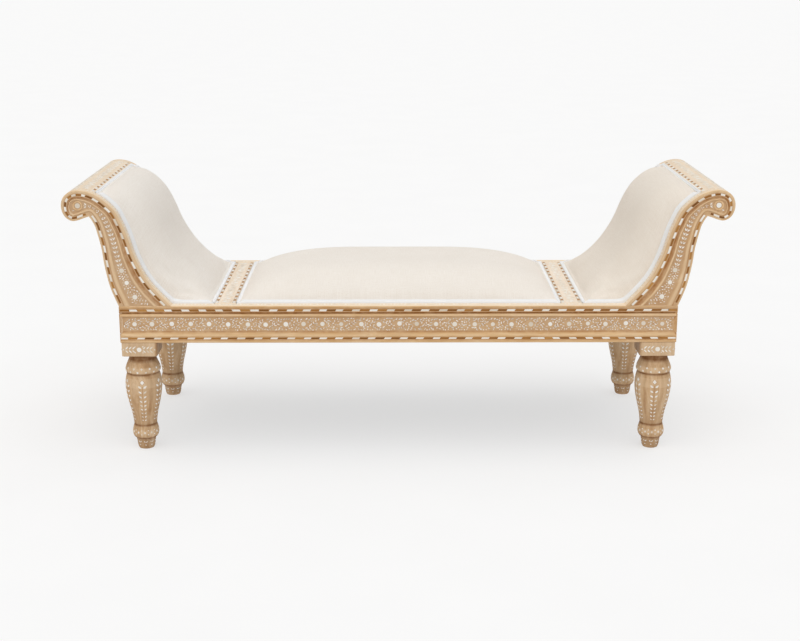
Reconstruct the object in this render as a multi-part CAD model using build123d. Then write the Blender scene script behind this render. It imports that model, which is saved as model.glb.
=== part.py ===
from build123d import *
import math
import os

# Scroll-end daybed (chaise longue). Millimetres, +Z up, X along the length, front at -Y.
# Origin: on the floor, under the centre of the seat.

# ---------------------------------------------------------------- driving dimensions
HALF_L = 765.0          # half length of the seat frame
HALF_D = 300.0          # half depth of the seat frame
RAIL_TOP = 422.0        # top of the seat frame above the floor
RAIL_BOTTOM = 318.0     # underside of the seat frame
RAIL_T = 36.0           # thickness of the rails
CHEEK_T = 30.0          # thickness of the scroll cheeks
CHEEK_RECESS = 3.0      # depth of the sunk panel on a cheek's face
LEG_X, LEG_Y = 715.0, 250.0
LEG_BLOCK = 98.0        # square block at the top of a leg
LEG_BLOCK_H = 39.5
DIV_X0, DIV_X1 = 449.5, 507.5   # divider bar across the seat
DIV_T = 24.0
LEDGER = 25.0           # square section of the ledgers
DECK_T = 12.0           # seat deck thickness
PAD_Y = 263.5           # half width of the pads
DOME_Y = 261.0          # half width at which the padding starts to rise
GIMP_W, GIMP_T = 8.6, 4.0       # braid; on the long edges it leans on the padding
GIMP_LOW, GIMP_HIGH = 3.0, 9.0
SEAT_BULGE = 82.0       # crown of the seat padding above the frame
COVER_T = 3.0           # linen with its wadding
BAND_W, BAND_T = 7.6, 2.0       # inlaid banding: width and depth
BOLT_D, SCREW_D, DOWEL_D, ROLL_DOWEL_D = 10.0, 5.0, 10.0, 12.0

# right-hand cheek, side view (x, z): seat side from the base up to the crest
INNER = [(622, 422), (633, 434.2), (652, 454.5), (674, 479.9), (693, 508.4), (707, 537.8), (720, 570.3), (729, 601.8),
         (738, 629.3), (749, 655.7), (763, 684.1), (783, 705.5), (803, 721.7), (824, 733.4), (848, 740)]
# round the volute from the crest to the notch under it
VOLUTE = [(868, 740.5), (886, 734.9), (900, 721.7), (906, 703.4), (904, 683.1), (894, 666.3), (878, 658.2), (862, 660.3),
          (847, 665.8), (833, 670.4)]
# outer side from the notch down to the base
OUTER = [(833, 670.4), (826, 660.3), (818, 644.5), (813, 626.2), (808, 604.9), (803, 579.5), (799, 543.9), (793.5, 511.4),
         (786, 477.9), (775, 446.4), (765, 422)]
EYE = (862.0, 699.4)
# line on which the end padding meets its board edge: divider -> along the seat -> up the arm to the roll
PAD_LINE = [(508.0, 422), (545, 422), (580, 422), (606, 423), (622, 427.1), (637, 439.3), (654, 457.1), (675, 481.4),
            (693.5, 508.9), (707.5, 537.8), (720, 570.3), (729, 601.8), (738, 629.3), (749, 655.7), (763, 684.1), (783, 705.5),
            (803, 721.7), (818.3, 730.5)]
# crown of the end padding at the middle of the depth
PAD_CROWN = [(516.6, 422.6), (523, 444), (541, 465), (566, 484.5), (590, 507), (612, 533.5), (631.5, 564), (649, 598), (664, 636),
             (681, 671), (703, 701), (734, 726), (768, 738), (790, 735.5), (801, 730.5), (810.8, 726.9)]
ROLL_X = 818.7          # where the top roll starts on the crest

# rail section: d is outward from the outer plane of the frame, z above the floor
RAIL_SECTION = [(-RAIL_T, 422), (-1.4, 422), (-0.4, 421.4), (0, 420), (0, 416), (-0.5, 414.6), (-1.5, 414), (-1.5, 404.6),
                (-3.2, 404.2), (-6.2, 403), (-6.6, 401.4), (-5.6, 400), (-3.2, 399.3), (-2.4, 397.6), (-2.2, 395.2),
                (-2.6, 392.8), (-4.0, 391.2), (-7.4, 390.6), (-7.4, 348), (-6.4, 346.2), (-3.2, 341.4), (-1.9, 338.4),
                (-1.8, 335), (-1.8, 325.6), (-0.8, 325), (-0.1, 323.6), (0, 321.4), (-0.3, 319), (-1.2, 318), (-RAIL_T, 318)]
RAIL_BANDS = [(405.5, -1.5), (326.0, -1.8)]     # lower edge and face of each band on a long rail
# the end rails are flat, with two scored lines
END_SECTION = [(-RAIL_T, 422), (-1.4, 422), (-0.4, 421.4), (0, 420), (0, 402.2), (-1.5, 400.8), (0, 399.4), (0, 346.4), (-1.5, 345),
               (0, 343.6), (0, 320), (-0.4, 318.6), (-1.4, 318), (-RAIL_T, 318)]
END_BANDS = [(405.5, 0.0), (326.0, 0.0)]

# turned leg (radius, height above the floor)
LEG_NECK = [(38.5, 278.5), (37.2, 274.5), (36.8, 270), (37.2, 266), (38.4, 262)]
LEG_TORUS = [(38.4, 262), (41.6, 254.5), (45.2, 246), (47.9, 238.5), (48.7, 233), (47.6, 227.6), (44.6, 223.4)]
LEG_VASE = [(44.6, 223.4), (47.8, 213), (50.2, 198.5), (50.8, 187.1), (49.8, 171.5), (47.6, 155.9), (44.4, 140.3), (40.8, 124.7),
            (37.2, 110.2), (34.2, 93.5), (32.4, 80), (31.8, 71.7)]
LEG_RING = [(31.8, 71.7), (34.4, 63.4), (36.6, 52), (35.8, 41.6), (32.2, 34.3)]
LEG_FOOT = [(32.2, 34.3), (28.2, 30.7), (26.2, 24.9), (24.8, 14.5), (23.0, 5.2), (20.5, 0)]


# ---------------------------------------------------------------- curve helpers
def smooth(points, step=4.0):
    """Points about step apart on a centripetal curve through the given ones."""
    p = [(2 * points[0][0] - points[1][0], 2 * points[0][1] - points[1][1])] + list(points)
    p.append((2 * points[-1][0] - points[-2][0], 2 * points[-1][1] - points[-2][1]))
    out = []
    for i in range(1, len(p) - 2):
        p0, p1, p2, p3 = p[i - 1:i + 3]
        t0 = 0.0
        t1 = t0 + math.dist(p0, p1) ** 0.5
        t2 = t1 + math.dist(p1, p2) ** 0.5
        t3 = t2 + math.dist(p2, p3) ** 0.5
        n = max(2, round(math.dist(p1, p2) / step))
        for k in range(n):
            t = t1 + (t2 - t1) * k / n

            def mix(a, b, ta, tb):
                f = (t - ta) / (tb - ta)
                return (a[0] + (b[0] - a[0]) * f, a[1] + (b[1] - a[1]) * f)

            a1, a2, a3 = mix(p0, p1, t0, t1), mix(p1, p2, t1, t2), mix(p2, p3, t2, t3)
            b1, b2 = mix(a1, a2, t0, t2), mix(a2, a3, t1, t3)
            out.append(mix(b1, b2, t1, t2))
    out.append(tuple(points[-1]))
    return out


def lengths(pts):
    s = [0.0]
    for a, b in zip(pts, pts[1:]):
        s.append(s[-1] + math.dist(a, b))
    return s


def at(pts, s, x):
    """Point of a polyline at length x."""
    x = min(max(x, 0.0), s[-1])
    for i in range(len(s) - 1):
        if x <= s[i + 1] or i == len(s) - 2:
            f = (x - s[i]) / (s[i + 1] - s[i])
            return (pts[i][0] + (pts[i + 1][0] - pts[i][0]) * f, pts[i][1] + (pts[i + 1][1] - pts[i][1]) * f)


def respace(pts, n):
    s = lengths(pts)
    return [at(pts, s, s[-1] * k / n) for k in range(n + 1)]


def normals(pts, spread=0):
    """Left-hand unit normals, averaged over spread points to each side."""
    raw = []
    for i in range(len(pts)):
        a, b = pts[max(i - 1, 0)], pts[min(i + 1, len(pts) - 1)]
        d = math.dist(a, b)
        raw.append((-(b[1] - a[1]) / d, (b[0] - a[0]) / d))
    out = []
    for i in range(len(raw)):
        w = [raw[min(max(j, 0), len(raw) - 1)] for j in range(i - spread, i + spread + 1)]
        x, z = sum(q[0] for q in w), sum(q[1] for q in w)
        m = math.hypot(x, z)
        out.append((x / m, z / m))
    return out


def shifted(pts, d, nrm=None):
    nrm = nrm or normals(pts)
    d = d if isinstance(d, list) else [d] * len(pts)
    return [(p[0] + q[0] * e, p[1] + q[1] * e) for p, q, e in zip(pts, nrm, d)]


def prism_y(pts, y0, y1):
    w = Wire.make_polygon([Vector(x, y0, z) for x, z in pts], close=True)
    return Solid.extrude(Face(w), Vector(0, y1 - y0, 0))


def ribbon(pts, d0, d1, y0, y1):
    """Prism between two lines set in from the edge pts by d0 and d1."""
    return prism_y(shifted(pts, -d0) + shifted(pts, -d1)[::-1], y0, y1)


def rod(p, q, r):
    """Round rod from p to q."""
    d = Vector(*q) - Vector(*p)
    return Solid.make_cylinder(r, d.length, Plane(origin=p, z_dir=d))


def block(x0, x1, y0, y1, z0, z1):
    return Pos((x0 + x1) / 2, (y0 + y1) / 2, (z0 + z1) / 2) * Box(x1 - x0, y1 - y0, z1 - z0)


def flip(shape):
    return mirror(shape, about=Plane.YZ)


def group(shapes):
    out = []
    for s in shapes:
        out += list(s.solids())
    return Compound(children=out)


ABOVE_FRAME = block(-1000, 1000, -400, 400, RAIL_TOP, 1000)
parts = {}

# ---------------------------------------------------------------- rails, mitred at the corners
long_zone = [(-HALF_L, -HALF_D), (HALF_L, -HALF_D), (HALF_L - HALF_D, 0), (-HALF_L + HALF_D, 0)]
end_zone = [(HALF_L, -HALF_D), (HALF_L, HALF_D), (HALF_L - HALF_D, 0)]


def zone(pts):
    w = Wire.make_polygon([Vector(x, y, 250) for x, y in pts], close=True)
    return Solid.extrude(Face(w), Vector(0, 0, 250))


def long_bar(section):
    w = Wire.make_polygon([Vector(-HALF_L, -(HALF_D + d), z) for d, z in section], close=True)
    return Solid.extrude(Face(w), Vector(2 * HALF_L, 0, 0)) & zone(long_zone)


def end_bar(section):
    w = Wire.make_polygon([Vector(HALF_L + d, -HALF_D, z) for d, z in section], close=True)
    return Solid.extrude(Face(w), Vector(0, 2 * HALF_D, 0)) & zone(end_zone)


def band_section(z, d):
    return [(d - BAND_T, z), (d, z), (d, z + BAND_W), (d - BAND_T, z + BAND_W)]


front_bands = [long_bar(band_section(z, d)) for z, d in RAIL_BANDS]
right_bands = [end_bar(band_section(z, d)) for z, d in END_BANDS]
front_rail = long_bar(RAIL_SECTION)
right_rail = end_bar(END_SECTION)
for b in front_bands:
    front_rail = front_rail - b
for b in right_bands:
    right_rail = right_rail - b
parts["front_rail_banding"] = group(front_bands)
parts["rear_rail_banding"] = group([mirror(b, about=Plane.XZ) for b in front_bands])
parts["end_rail_banding"] = group(right_bands + [flip(b) for b in right_bands])

# ---------------------------------------------------------------- scroll cheeks
crest = smooth(INNER + VOLUTE)
outer = smooth(OUTER)
front_face, inner_face = -HALF_D, -HALF_D + CHEEK_T
outline = [Spline(*[Vector(x, front_face, z) for x, z in INNER + VOLUTE]),
           Spline(*[Vector(x, front_face, z) for x, z in OUTER]),
           Line(Vector(OUTER[-1][0], front_face, OUTER[-1][1]), Vector(INNER[0][0], front_face, INNER[0][1]))]
cheek = Solid.extrude(Face(Wire(outline)), Vector(0, CHEEK_T, 0))

# sunk panel between the mouldings, from the rail to the eye of the volute
inner_line = smooth(INNER)


def narrowing(z, base, neck):
    return base + (neck - base) * min(max((z - 514) / 112.0, 0.0), 1.0)


seat_side = shifted(inner_line, [-narrowing(p[1], 37.0, 29.0) for p in inner_line])
seat_side = [p for p in seat_side if p[1] > RAIL_TOP + 4 and p[0] < EYE[0] - 8]
rim_side = shifted(outer, [-narrowing(p[1], 32.0, 23.0) for p in outer])
rim_side = [p for p in rim_side if RAIL_TOP + 4 < p[1] < 668]
panel = seat_side + [(862, 708.5), (869, 699.4), (862, 691.2), (850, 691.7), (838, 693.3), (826, 692.3), (817, 686.7), (811, 676.5)] + rim_side
sunk = prism_y(panel, front_face, front_face + CHEEK_RECESS)

cheek_bands = [ribbon(crest[:-2], 8.0, 8.0 + BAND_W, front_face, front_face + BAND_T) & ABOVE_FRAME,
               ribbon(outer[1:], 5.0, 5.0 + BAND_W, front_face, front_face + BAND_T) & ABOVE_FRAME]
cheek = cheek - sunk
for b in cheek_bands:
    cheek = cheek - b
right_bands_c = cheek_bands + [mirror(b, about=Plane.XZ) for b in cheek_bands]
parts["right_cheek_banding"] = group(right_bands_c)
parts["left_cheek_banding"] = group([flip(b) for b in right_bands_c])

# ---------------------------------------------------------------- top roll and outer board
first = next(i for i, p in enumerate(crest) if p[0] >= ROLL_X)
f = (ROLL_X - crest[first - 1][0]) / (crest[first][0] - crest[first - 1][0])
roll_line = [(ROLL_X, crest[first - 1][1] + f * (crest[first][1] - crest[first - 1][1]))] + crest[first + (f > 0.8):]
roll = prism_y(roll_line + [(846.0, 697.0)], inner_face, -inner_face)
s_roll = lengths(roll_line)
strip = [at(roll_line, s_roll, 4.0 + k) for k in (0, 2.5, 5, BAND_W)]
roll_groove = prism_y(shifted(strip, 0.8) + shifted(strip, -BAND_T)[::-1], inner_face, -inner_face)
roll_band = roll & roll_groove
roll = roll - roll_groove
parts["roll_banding"] = group([roll_band, flip(roll_band)])

HOUSING = 6.0
tail = OUTER[-1]
board_edge = outer[1:] + [(tail[0] - 10, tail[1] - 24)]
board = ribbon(board_edge, 3.0, 17.0, inner_face - HOUSING, -inner_face + HOUSING) & ABOVE_FRAME
cheek = cheek - board

# ---------------------------------------------------------------- dowels
cheek_dowels, roll_dowels = [], []
for x in (664.0, 732.0):
    cheek_dowels.append(rod((x, -HALF_D + CHEEK_T / 2, RAIL_TOP - 24), (x, -HALF_D + CHEEK_T / 2, RAIL_TOP + 24), DOWEL_D / 2))
for x, z in ((846.0, 714.6), (876.0, 686.2)):
    roll_dowels.append(rod((x, inner_face - 20, z), (x, inner_face + 30, z), ROLL_DOWEL_D / 2))
for d in cheek_dowels:
    cheek = cheek - d
    front_rail = front_rail - d - flip(d)
for d in roll_dowels:
    cheek = cheek - d
    roll = roll - d - mirror(d, about=Plane.XZ)


def four(shapes):
    both = list(shapes) + [mirror(s, about=Plane.XZ) for s in shapes]
    return both + [flip(s) for s in both]


parts["cheek_dowels"] = group(four(cheek_dowels))
parts["roll_dowels"] = group(four(roll_dowels))
parts["front_right_cheek"] = cheek
parts["rear_right_cheek"] = mirror(cheek, about=Plane.XZ)
parts["front_left_cheek"] = flip(cheek)
parts["rear_left_cheek"] = flip(mirror(cheek, about=Plane.XZ))
parts["right_top_roll"] = roll
parts["left_top_roll"] = flip(roll)
parts["right_outer_board"] = board
parts["left_outer_board"] = flip(board)

# ---------------------------------------------------------------- corner blocks, leg bolts, screws
in_x, in_y = HALF_L - RAIL_T, HALF_D - RAIL_T
w = Wire.make_polygon([Vector(in_x, -in_y, RAIL_BOTTOM), Vector(in_x - 90, -in_y, RAIL_BOTTOM),
                       Vector(in_x, -in_y + 90, RAIL_BOTTOM)], close=True)
corner = Solid.extrude(Face(w), Vector(0, 0, 48))
bolt = rod((LEG_X, -LEG_Y, RAIL_BOTTOM - 66), (LEG_X, -LEG_Y, RAIL_BOTTOM + 68), BOLT_D / 2)
washer = rod((LEG_X, -LEG_Y, RAIL_BOTTOM + 48), (LEG_X, -LEG_Y, RAIL_BOTTOM + 50), 12) - bolt
nut = Pos(LEG_X, -LEG_Y, RAIL_BOTTOM + 50) * extrude(RegularPolygon(17.0 / 2, 6, major_radius=False), amount=8) - bolt
corner = corner - bolt
corner_screws, corner_bores = [], []
for z in (RAIL_BOTTOM + 14, RAIL_BOTTOM + 34):
    x = in_x - 54
    corner_screws.append(rod((x, -in_y + 21, z), (x, -in_y + 25, z), 4.75) + rod((x, -in_y + 21, z), (x, -in_y - 20, z), SCREW_D / 2))
    corner_bores.append(rod((x, -in_y + 25, z), (x, -in_y + 60, z), 5.25))
    y = -in_y + 54
    corner_screws.append(rod((in_x - 25, y, z), (in_x - 21, y, z), 4.75) + rod((in_x - 21, y, z), (in_x + 20, y, z), SCREW_D / 2))
    corner_bores.append(rod((in_x - 60, y, z), (in_x - 25, y, z), 5.25))
for s in corner_screws:
    corner = corner - s
    front_rail = front_rail - s - flip(s)
    right_rail = right_rail - s - mirror(s, about=Plane.XZ)
for b in corner_bores:
    corner = corner - b
parts["corner_blocks"] = group(four([corner]))
parts["corner_block_screws"] = group(four(corner_screws))
parts["leg_bolts"] = group(four([bolt]))
parts["leg_bolt_washers"] = group(four([washer]))
parts["leg_bolt_nuts"] = group(four([nut]))

# ---------------------------------------------------------------- legs
pieces = [Line((0, 0, LEG_NECK[0][1] + 4), (LEG_NECK[0][0], 0, LEG_NECK[0][1] + 4)),
          Line((LEG_NECK[0][0], 0, LEG_NECK[0][1] + 4), (LEG_NECK[0][0], 0, LEG_NECK[0][1]))]
for seg in (LEG_NECK, LEG_TORUS, LEG_VASE, LEG_RING, LEG_FOOT):
    pieces.append(Spline(*[Vector(r, 0, z) for r, z in seg]))
pieces += [Line((LEG_FOOT[-1][0], 0, 0), (0, 0, 0)), Line((0, 0, 0), (0, 0, LEG_NECK[0][1] + 4))]
turned = Solid.revolve(Face(Wire(pieces)), 360, Axis.Z)
top_block = Pos(0, 0, RAIL_BOTTOM - LEG_BLOCK_H / 2) * Box(LEG_BLOCK, LEG_BLOCK, LEG_BLOCK_H)
top_block = chamfer(top_block.edges().group_by(Axis.Z)[0], 3.0)
leg = Pos(LEG_X, -LEG_Y, 0) * (turned + top_block) - bolt
parts["front_right_leg"] = leg
parts["rear_right_leg"] = mirror(leg, about=Plane.XZ)
parts["front_left_leg"] = flip(leg)
parts["rear_left_leg"] = flip(mirror(leg, about=Plane.XZ))

# ---------------------------------------------------------------- dividers, tenoned into the long rails
TENON_L, TENON_W, TENON_T = 14.0, 40.0, 11.0
mid_x = (DIV_X0 + DIV_X1) / 2
divider = block(DIV_X0, DIV_X1, -in_y, in_y, RAIL_TOP - DIV_T, RAIL_TOP)
tenon = block(mid_x - TENON_W / 2, mid_x + TENON_W / 2, -in_y - TENON_L, -in_y, RAIL_TOP - 19, RAIL_TOP - 19 + TENON_T)
div_bands = [block(DIV_X0 + 2, DIV_X0 + 2 + BAND_W, -in_y, in_y, RAIL_TOP - BAND_T, RAIL_TOP),
             block(DIV_X1 - 2 - BAND_W, DIV_X1 - 2, -in_y, in_y, RAIL_TOP - BAND_T, RAIL_TOP)]
divider = divider + tenon + mirror(tenon, about=Plane.XZ)
for b in div_bands:
    divider = divider - b
front_rail = front_rail - tenon - flip(tenon)
parts["right_divider"] = divider
parts["left_divider"] = flip(divider)
parts["divider_banding"] = group(div_bands + [flip(b) for b in div_bands])

# ---------------------------------------------------------------- ledgers, bearers and decks inside the frame
deck_bottom = RAIL_TOP - DIV_T
deck_top = deck_bottom + DECK_T
ledger = block(-in_x + 45, in_x - 45, -in_y, -in_y + LEDGER, deck_bottom - LEDGER, deck_bottom)
ledger_screws = []
for x in (-600, -330, -60, 60, 330, 600):
    z = deck_bottom - LEDGER / 2
    s = rod((x, -in_y + LEDGER - 4, z), (x, -in_y + LEDGER, z), 4.5) + rod((x, -in_y + LEDGER - 4, z), (x, -in_y - 20, z), 2.25)
    ledger_screws.append(s)
    ledger = ledger - s
    front_rail = front_rail - s
parts["front_ledger"] = ledger
parts["rear_ledger"] = mirror(ledger, about=Plane.XZ)
parts["ledger_screws"] = group(ledger_screws + [mirror(s, about=Plane.XZ) for s in ledger_screws])
bearers = [block(x - 20, x + 20, -in_y + LEDGER, in_y - LEDGER, deck_bottom - LEDGER, deck_bottom) for x in (-150.0, 150.0)]
parts["seat_bearers"] = group(bearers)
parts["seat_deck"] = block(-DIV_X0 + 0.5, DIV_X0 - 0.5, -PAD_Y, PAD_Y, deck_bottom, deck_top)
ARM_FOOT = 606.0
end_deck = block(DIV_X1 + 0.5, ARM_FOOT - 0.3, -PAD_Y, PAD_Y, deck_bottom, deck_top)
parts["right_seat_deck"] = end_deck
parts["left_seat_deck"] = flip(end_deck)
parts["front_rail"] = front_rail
parts["rear_rail"] = mirror(front_rail, about=Plane.XZ)
parts["right_end_rail"] = right_rail
parts["left_end_rail"] = flip(right_rail)


# ---------------------------------------------------------------- padding
def rise(d, reach, p=2.4):
    """Rounded shoulder: 0 at the edge, 1 from reach inward."""
    u = 1 - min(max(d / reach, 0.0), 1.0)
    return (1 - u ** p) ** (1 / 1.6)


SECTIONS = [-PAD_Y, -DOME_Y, -254.0, -238.0, -205.0, -150.0, -60.0, 60.0, 150.0, 205.0, 238.0, 254.0, DOME_Y, PAD_Y]


def skin(line, nrm, along, bulge, y, reach_y, extra=0.0):
    fy = rise(DOME_Y - abs(y), reach_y)
    return shifted(line, [bulge * f * fy + extra for f in along], nrm)


def loft_y(sections):
    wires = [Wire.make_polygon([Vector(x, y, z) for x, z in pts], close=True) for y, pts in sections]
    return Solid.make_loft(wires, ruled=True)


# centre seat
seat_edge = DIV_X0 - 0.5 - GIMP_W
seat_line = [(-seat_edge + 2 * seat_edge * k / 28, RAIL_TOP) for k in range(29)]
seat_line = [(-seat_edge - GIMP_W, RAIL_TOP)] + seat_line + [(seat_edge + GIMP_W, RAIL_TOP)]
seat_n = [(0.0, 1.0)] * 31
seat_along = [rise(seat_edge - abs(p[0]), 330.0, 2.6) for p in seat_line]
seat_floor = [(p[0], deck_top) for p in seat_line]
parts["seat_foam"] = loft_y([(y, skin(seat_line, seat_n, seat_along, SEAT_BULGE, y, 190.0) + [seat_floor[-1], seat_floor[0]])
                             for y in SECTIONS])
inset = seat_line[1:-1]
inset_n, inset_a = seat_n[1:-1], seat_along[1:-1]
parts["seat_cover"] = loft_y([(y, skin(inset, inset_n, inset_a, SEAT_BULGE, y, 190.0, COVER_T)
                               + skin(inset, inset_n, inset_a, SEAT_BULGE, y, 190.0)[::-1]) for y in SECTIONS[1:-1]])

# right end: along the seat and up the arm
dense = [(x, max(z, RAIL_TOP)) for x, z in smooth(PAD_LINE, 2.0)]
dense_s = lengths(dense)
pad_len = dense_s[-1] - 2 * GIMP_W
end_line = [dense[0]] + [at(dense, dense_s, GIMP_W + pad_len * k / 42) for k in range(43)] + [dense[-1]]
end_s = lengths(end_line)
crown = smooth(PAD_CROWN, 3.0)
crown_s = lengths(crown)
crown_line = end_line[:2] + [at(crown, crown_s, crown_s[-1] * k / 42) for k in range(1, 42)] + end_line[-2:]
edge_n = normals(end_line)


def end_skin(y, extra=0.0):
    """Profile of the end padding at y: from the edge line to the crown."""
    f = rise(DOME_Y - abs(y), 165.0)
    line = [(e[0] + (c[0] - e[0]) * f, e[1] + (c[1] - e[1]) * f) for e, c in zip(end_line, crown_line)]
    nrm = normals(line, 2)
    nrm[1], nrm[-2] = edge_n[1], edge_n[-2]       # the cut edges of the cover stand square beside the braid
    return shifted(line, extra, nrm) if extra else line


depth = [DECK_T + (22.0 - DECK_T) * min(max((p[0] - ARM_FOOT) / 60.0, 0.0), 1.0) for p in end_line]
end_floor = [(x, max(z, deck_top)) for x, z in shifted(end_line, [-d for d in depth], normals(end_line, 2))]
end_foam = loft_y([(y, end_skin(y) + end_floor[::-1]) for y in SECTIONS])
parts["right_end_foam"] = end_foam
parts["left_end_foam"] = flip(end_foam)
end_cover = loft_y([(y, end_skin(y, COVER_T)[1:-1] + end_skin(y)[1:-1][::-1]) for y in SECTIONS[1:-1]])
parts["right_end_cover"] = end_cover
parts["left_end_cover"] = flip(end_cover)

# bent board behind the arm padding, and the cleats that carry it on the cheeks
arm_from = next(i for i, p in enumerate(end_floor) if p[0] > ARM_FOOT)
arm_top = end_floor[arm_from:]
arm_n = normals(end_floor, 2)[arm_from:]
arm_board = prism_y(arm_top + shifted(arm_top, -8.0, arm_n)[::-1], -PAD_Y, PAD_Y)
parts["right_arm_board"] = arm_board
parts["left_arm_board"] = flip(arm_board)
cl_top, cl_n = shifted(arm_top, -8.2, arm_n)[3:-4], arm_n[3:-4]
cleat = prism_y(cl_top + shifted(cl_top, -14.0, cl_n)[::-1], inner_face, inner_face + 16) & block(-1000, 1000, -400, 400, RAIL_TOP + 2, 1000)
cleats = [cleat, mirror(cleat, about=Plane.XZ)]
parts["right_arm_cleats"] = group(cleats)
parts["left_arm_cleats"] = group([flip(c) for c in cleats])

# ---------------------------------------------------------------- gimp round each panel
def leaning(line, s, nrm=None):
    """A run of braid along the front edge of a panel, higher on the side of the padding."""
    ramp = [min(max((min(k, s[-1] - k) - GIMP_W) / 24.0, 0.0), 1.0) for k in s]
    low = shifted(line, [GIMP_T + (GIMP_LOW - GIMP_T) * r for r in ramp], nrm)
    high = shifted(line, [GIMP_T + (GIMP_HIGH - GIMP_T) * r for r in ramp], nrm)
    return loft_y([(-DOME_Y - GIMP_W, low + line[::-1]), (-DOME_Y, high + line[::-1])])


gx = DIV_X0 - 0.5
run = leaning(seat_line, lengths(seat_line), seat_n)
seat_gimp = [run, mirror(run, about=Plane.XZ)]
seat_gimp += [block(s * (gx - GIMP_W / 2) - GIMP_W / 2, s * (gx - GIMP_W / 2) + GIMP_W / 2, -DOME_Y, DOME_Y, RAIL_TOP, RAIL_TOP + GIMP_T)
              for s in (-1, 1)]
parts["seat_gimp"] = group(seat_gimp)
run = leaning(end_line, end_s)
low = [at(end_line, end_s, k) for k in (0, GIMP_W - 0.3)]
high = [at(end_line, end_s, end_s[-1] - GIMP_W + k) for k in (0.3, GIMP_W)]
end_gimp = [run, mirror(run, about=Plane.XZ)]
for seg in (low, high):
    end_gimp.append(prism_y(shifted(seg, GIMP_T) + seg[::-1], -DOME_Y, DOME_Y))
parts["right_end_gimp"] = group(end_gimp)
parts["left_end_gimp"] = group([flip(g) for g in end_gimp])

# ---------------------------------------------------------------- dust cover under the frame
dx, dy, nx, ny = 756.0, 291.0, LEG_X - LEG_BLOCK / 2 - 2, LEG_Y - LEG_BLOCK / 2 - 2
ring = [(-nx, -dy), (nx, -dy), (nx, -ny), (dx, -ny), (dx, ny), (nx, ny), (nx, dy), (-nx, dy), (-nx, ny), (-dx, ny), (-dx, -ny), (-nx, -ny)]
w = Wire.make_polygon([Vector(x, y, RAIL_BOTTOM - 1.0) for x, y in ring], close=True)
parts["dust_cover"] = Solid.extrude(Face(w), Vector(0, 0, 1.0))

# ---------------------------------------------------------------- write
os.makedirs("parts", exist_ok=True)
for name, shape in parts.items():
    export_step(shape, "parts/" + name + ".step")
    print(name, len(shape.solids()), round(sum(s.volume for s in shape.solids()) / 1000, 1))
print(len(parts), "nodes")
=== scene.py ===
import math
import random

import bmesh
import bpy
import numpy as np
from mathutils import Matrix, Vector
from mathutils.geometry import tessellate_polygon


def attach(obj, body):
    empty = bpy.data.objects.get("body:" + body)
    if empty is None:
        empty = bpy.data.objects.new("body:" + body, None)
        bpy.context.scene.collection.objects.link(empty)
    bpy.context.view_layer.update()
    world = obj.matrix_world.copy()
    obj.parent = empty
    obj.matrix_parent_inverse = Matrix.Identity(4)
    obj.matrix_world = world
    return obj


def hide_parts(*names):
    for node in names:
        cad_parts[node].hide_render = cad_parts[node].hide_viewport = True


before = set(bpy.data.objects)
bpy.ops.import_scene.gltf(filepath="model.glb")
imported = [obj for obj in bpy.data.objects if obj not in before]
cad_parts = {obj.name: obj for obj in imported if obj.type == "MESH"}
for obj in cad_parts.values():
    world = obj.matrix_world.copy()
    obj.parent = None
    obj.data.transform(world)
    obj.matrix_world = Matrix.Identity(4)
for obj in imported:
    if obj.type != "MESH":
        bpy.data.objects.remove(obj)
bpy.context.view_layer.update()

# Millimetres here, metres in Blender. X along the length, front at -Y, Z up.
MM = 0.001
RNG = random.Random(11)

HALF_L, HALF_D = 765.0, 300.0
RAIL_TOP, RAIL_BOTTOM = 422.0, 318.0
LEG_X, LEG_Y, LEG_BLOCK = 715.0, 250.0, 98.0
DIV_X0, DIV_X1 = 449.5, 507.5
DOME_Y, GIMP_W = 261.0, 8.6
SEAT_BULGE = 82.0
DECK_TOP = 410.0
INNER = [(622, 422), (633, 434.2), (652, 454.5), (674, 479.9), (693, 508.4), (707, 537.8), (720, 570.3), (729, 601.8),
         (738, 629.3), (749, 655.7), (763, 684.1), (783, 705.5), (803, 721.7), (824, 733.4), (848, 740)]
VOLUTE = [(868, 740.5), (886, 734.9), (900, 721.7), (906, 703.4), (904, 683.1), (894, 666.3), (878, 658.2), (862, 660.3),
          (847, 665.8), (833, 670.4)]
OUTER = [(833, 670.4), (826, 660.3), (818, 644.5), (813, 626.2), (808, 604.9), (803, 579.5), (799, 543.9), (793.5, 511.4),
         (786, 477.9), (775, 446.4), (765, 422)]
EYE = (862.0, 699.4)
ROLL_X = 818.7
PAD_LINE = [(508.0, 422), (545, 422), (580, 422), (606, 423), (622, 427.1), (637, 439.3), (654, 457.1), (675, 481.4),
            (693.5, 508.9), (707.5, 537.8), (720, 570.3), (729, 601.8), (738, 629.3), (749, 655.7), (763, 684.1),
            (783, 705.5), (803, 721.7), (818.3, 730.5)]
# crown of the end padding at the middle of the depth, from the divider up to the roll
PAD_CROWN = [(515.0, 422.6), (526, 440), (545, 462), (568, 484.2), (590, 507), (612, 533.5), (631.5, 564), (649, 598), (664, 636),
             (681, 671), (703, 701), (734, 726), (768, 738.5), (790, 736.5), (803, 731), (812.6, 727.8)]


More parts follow.
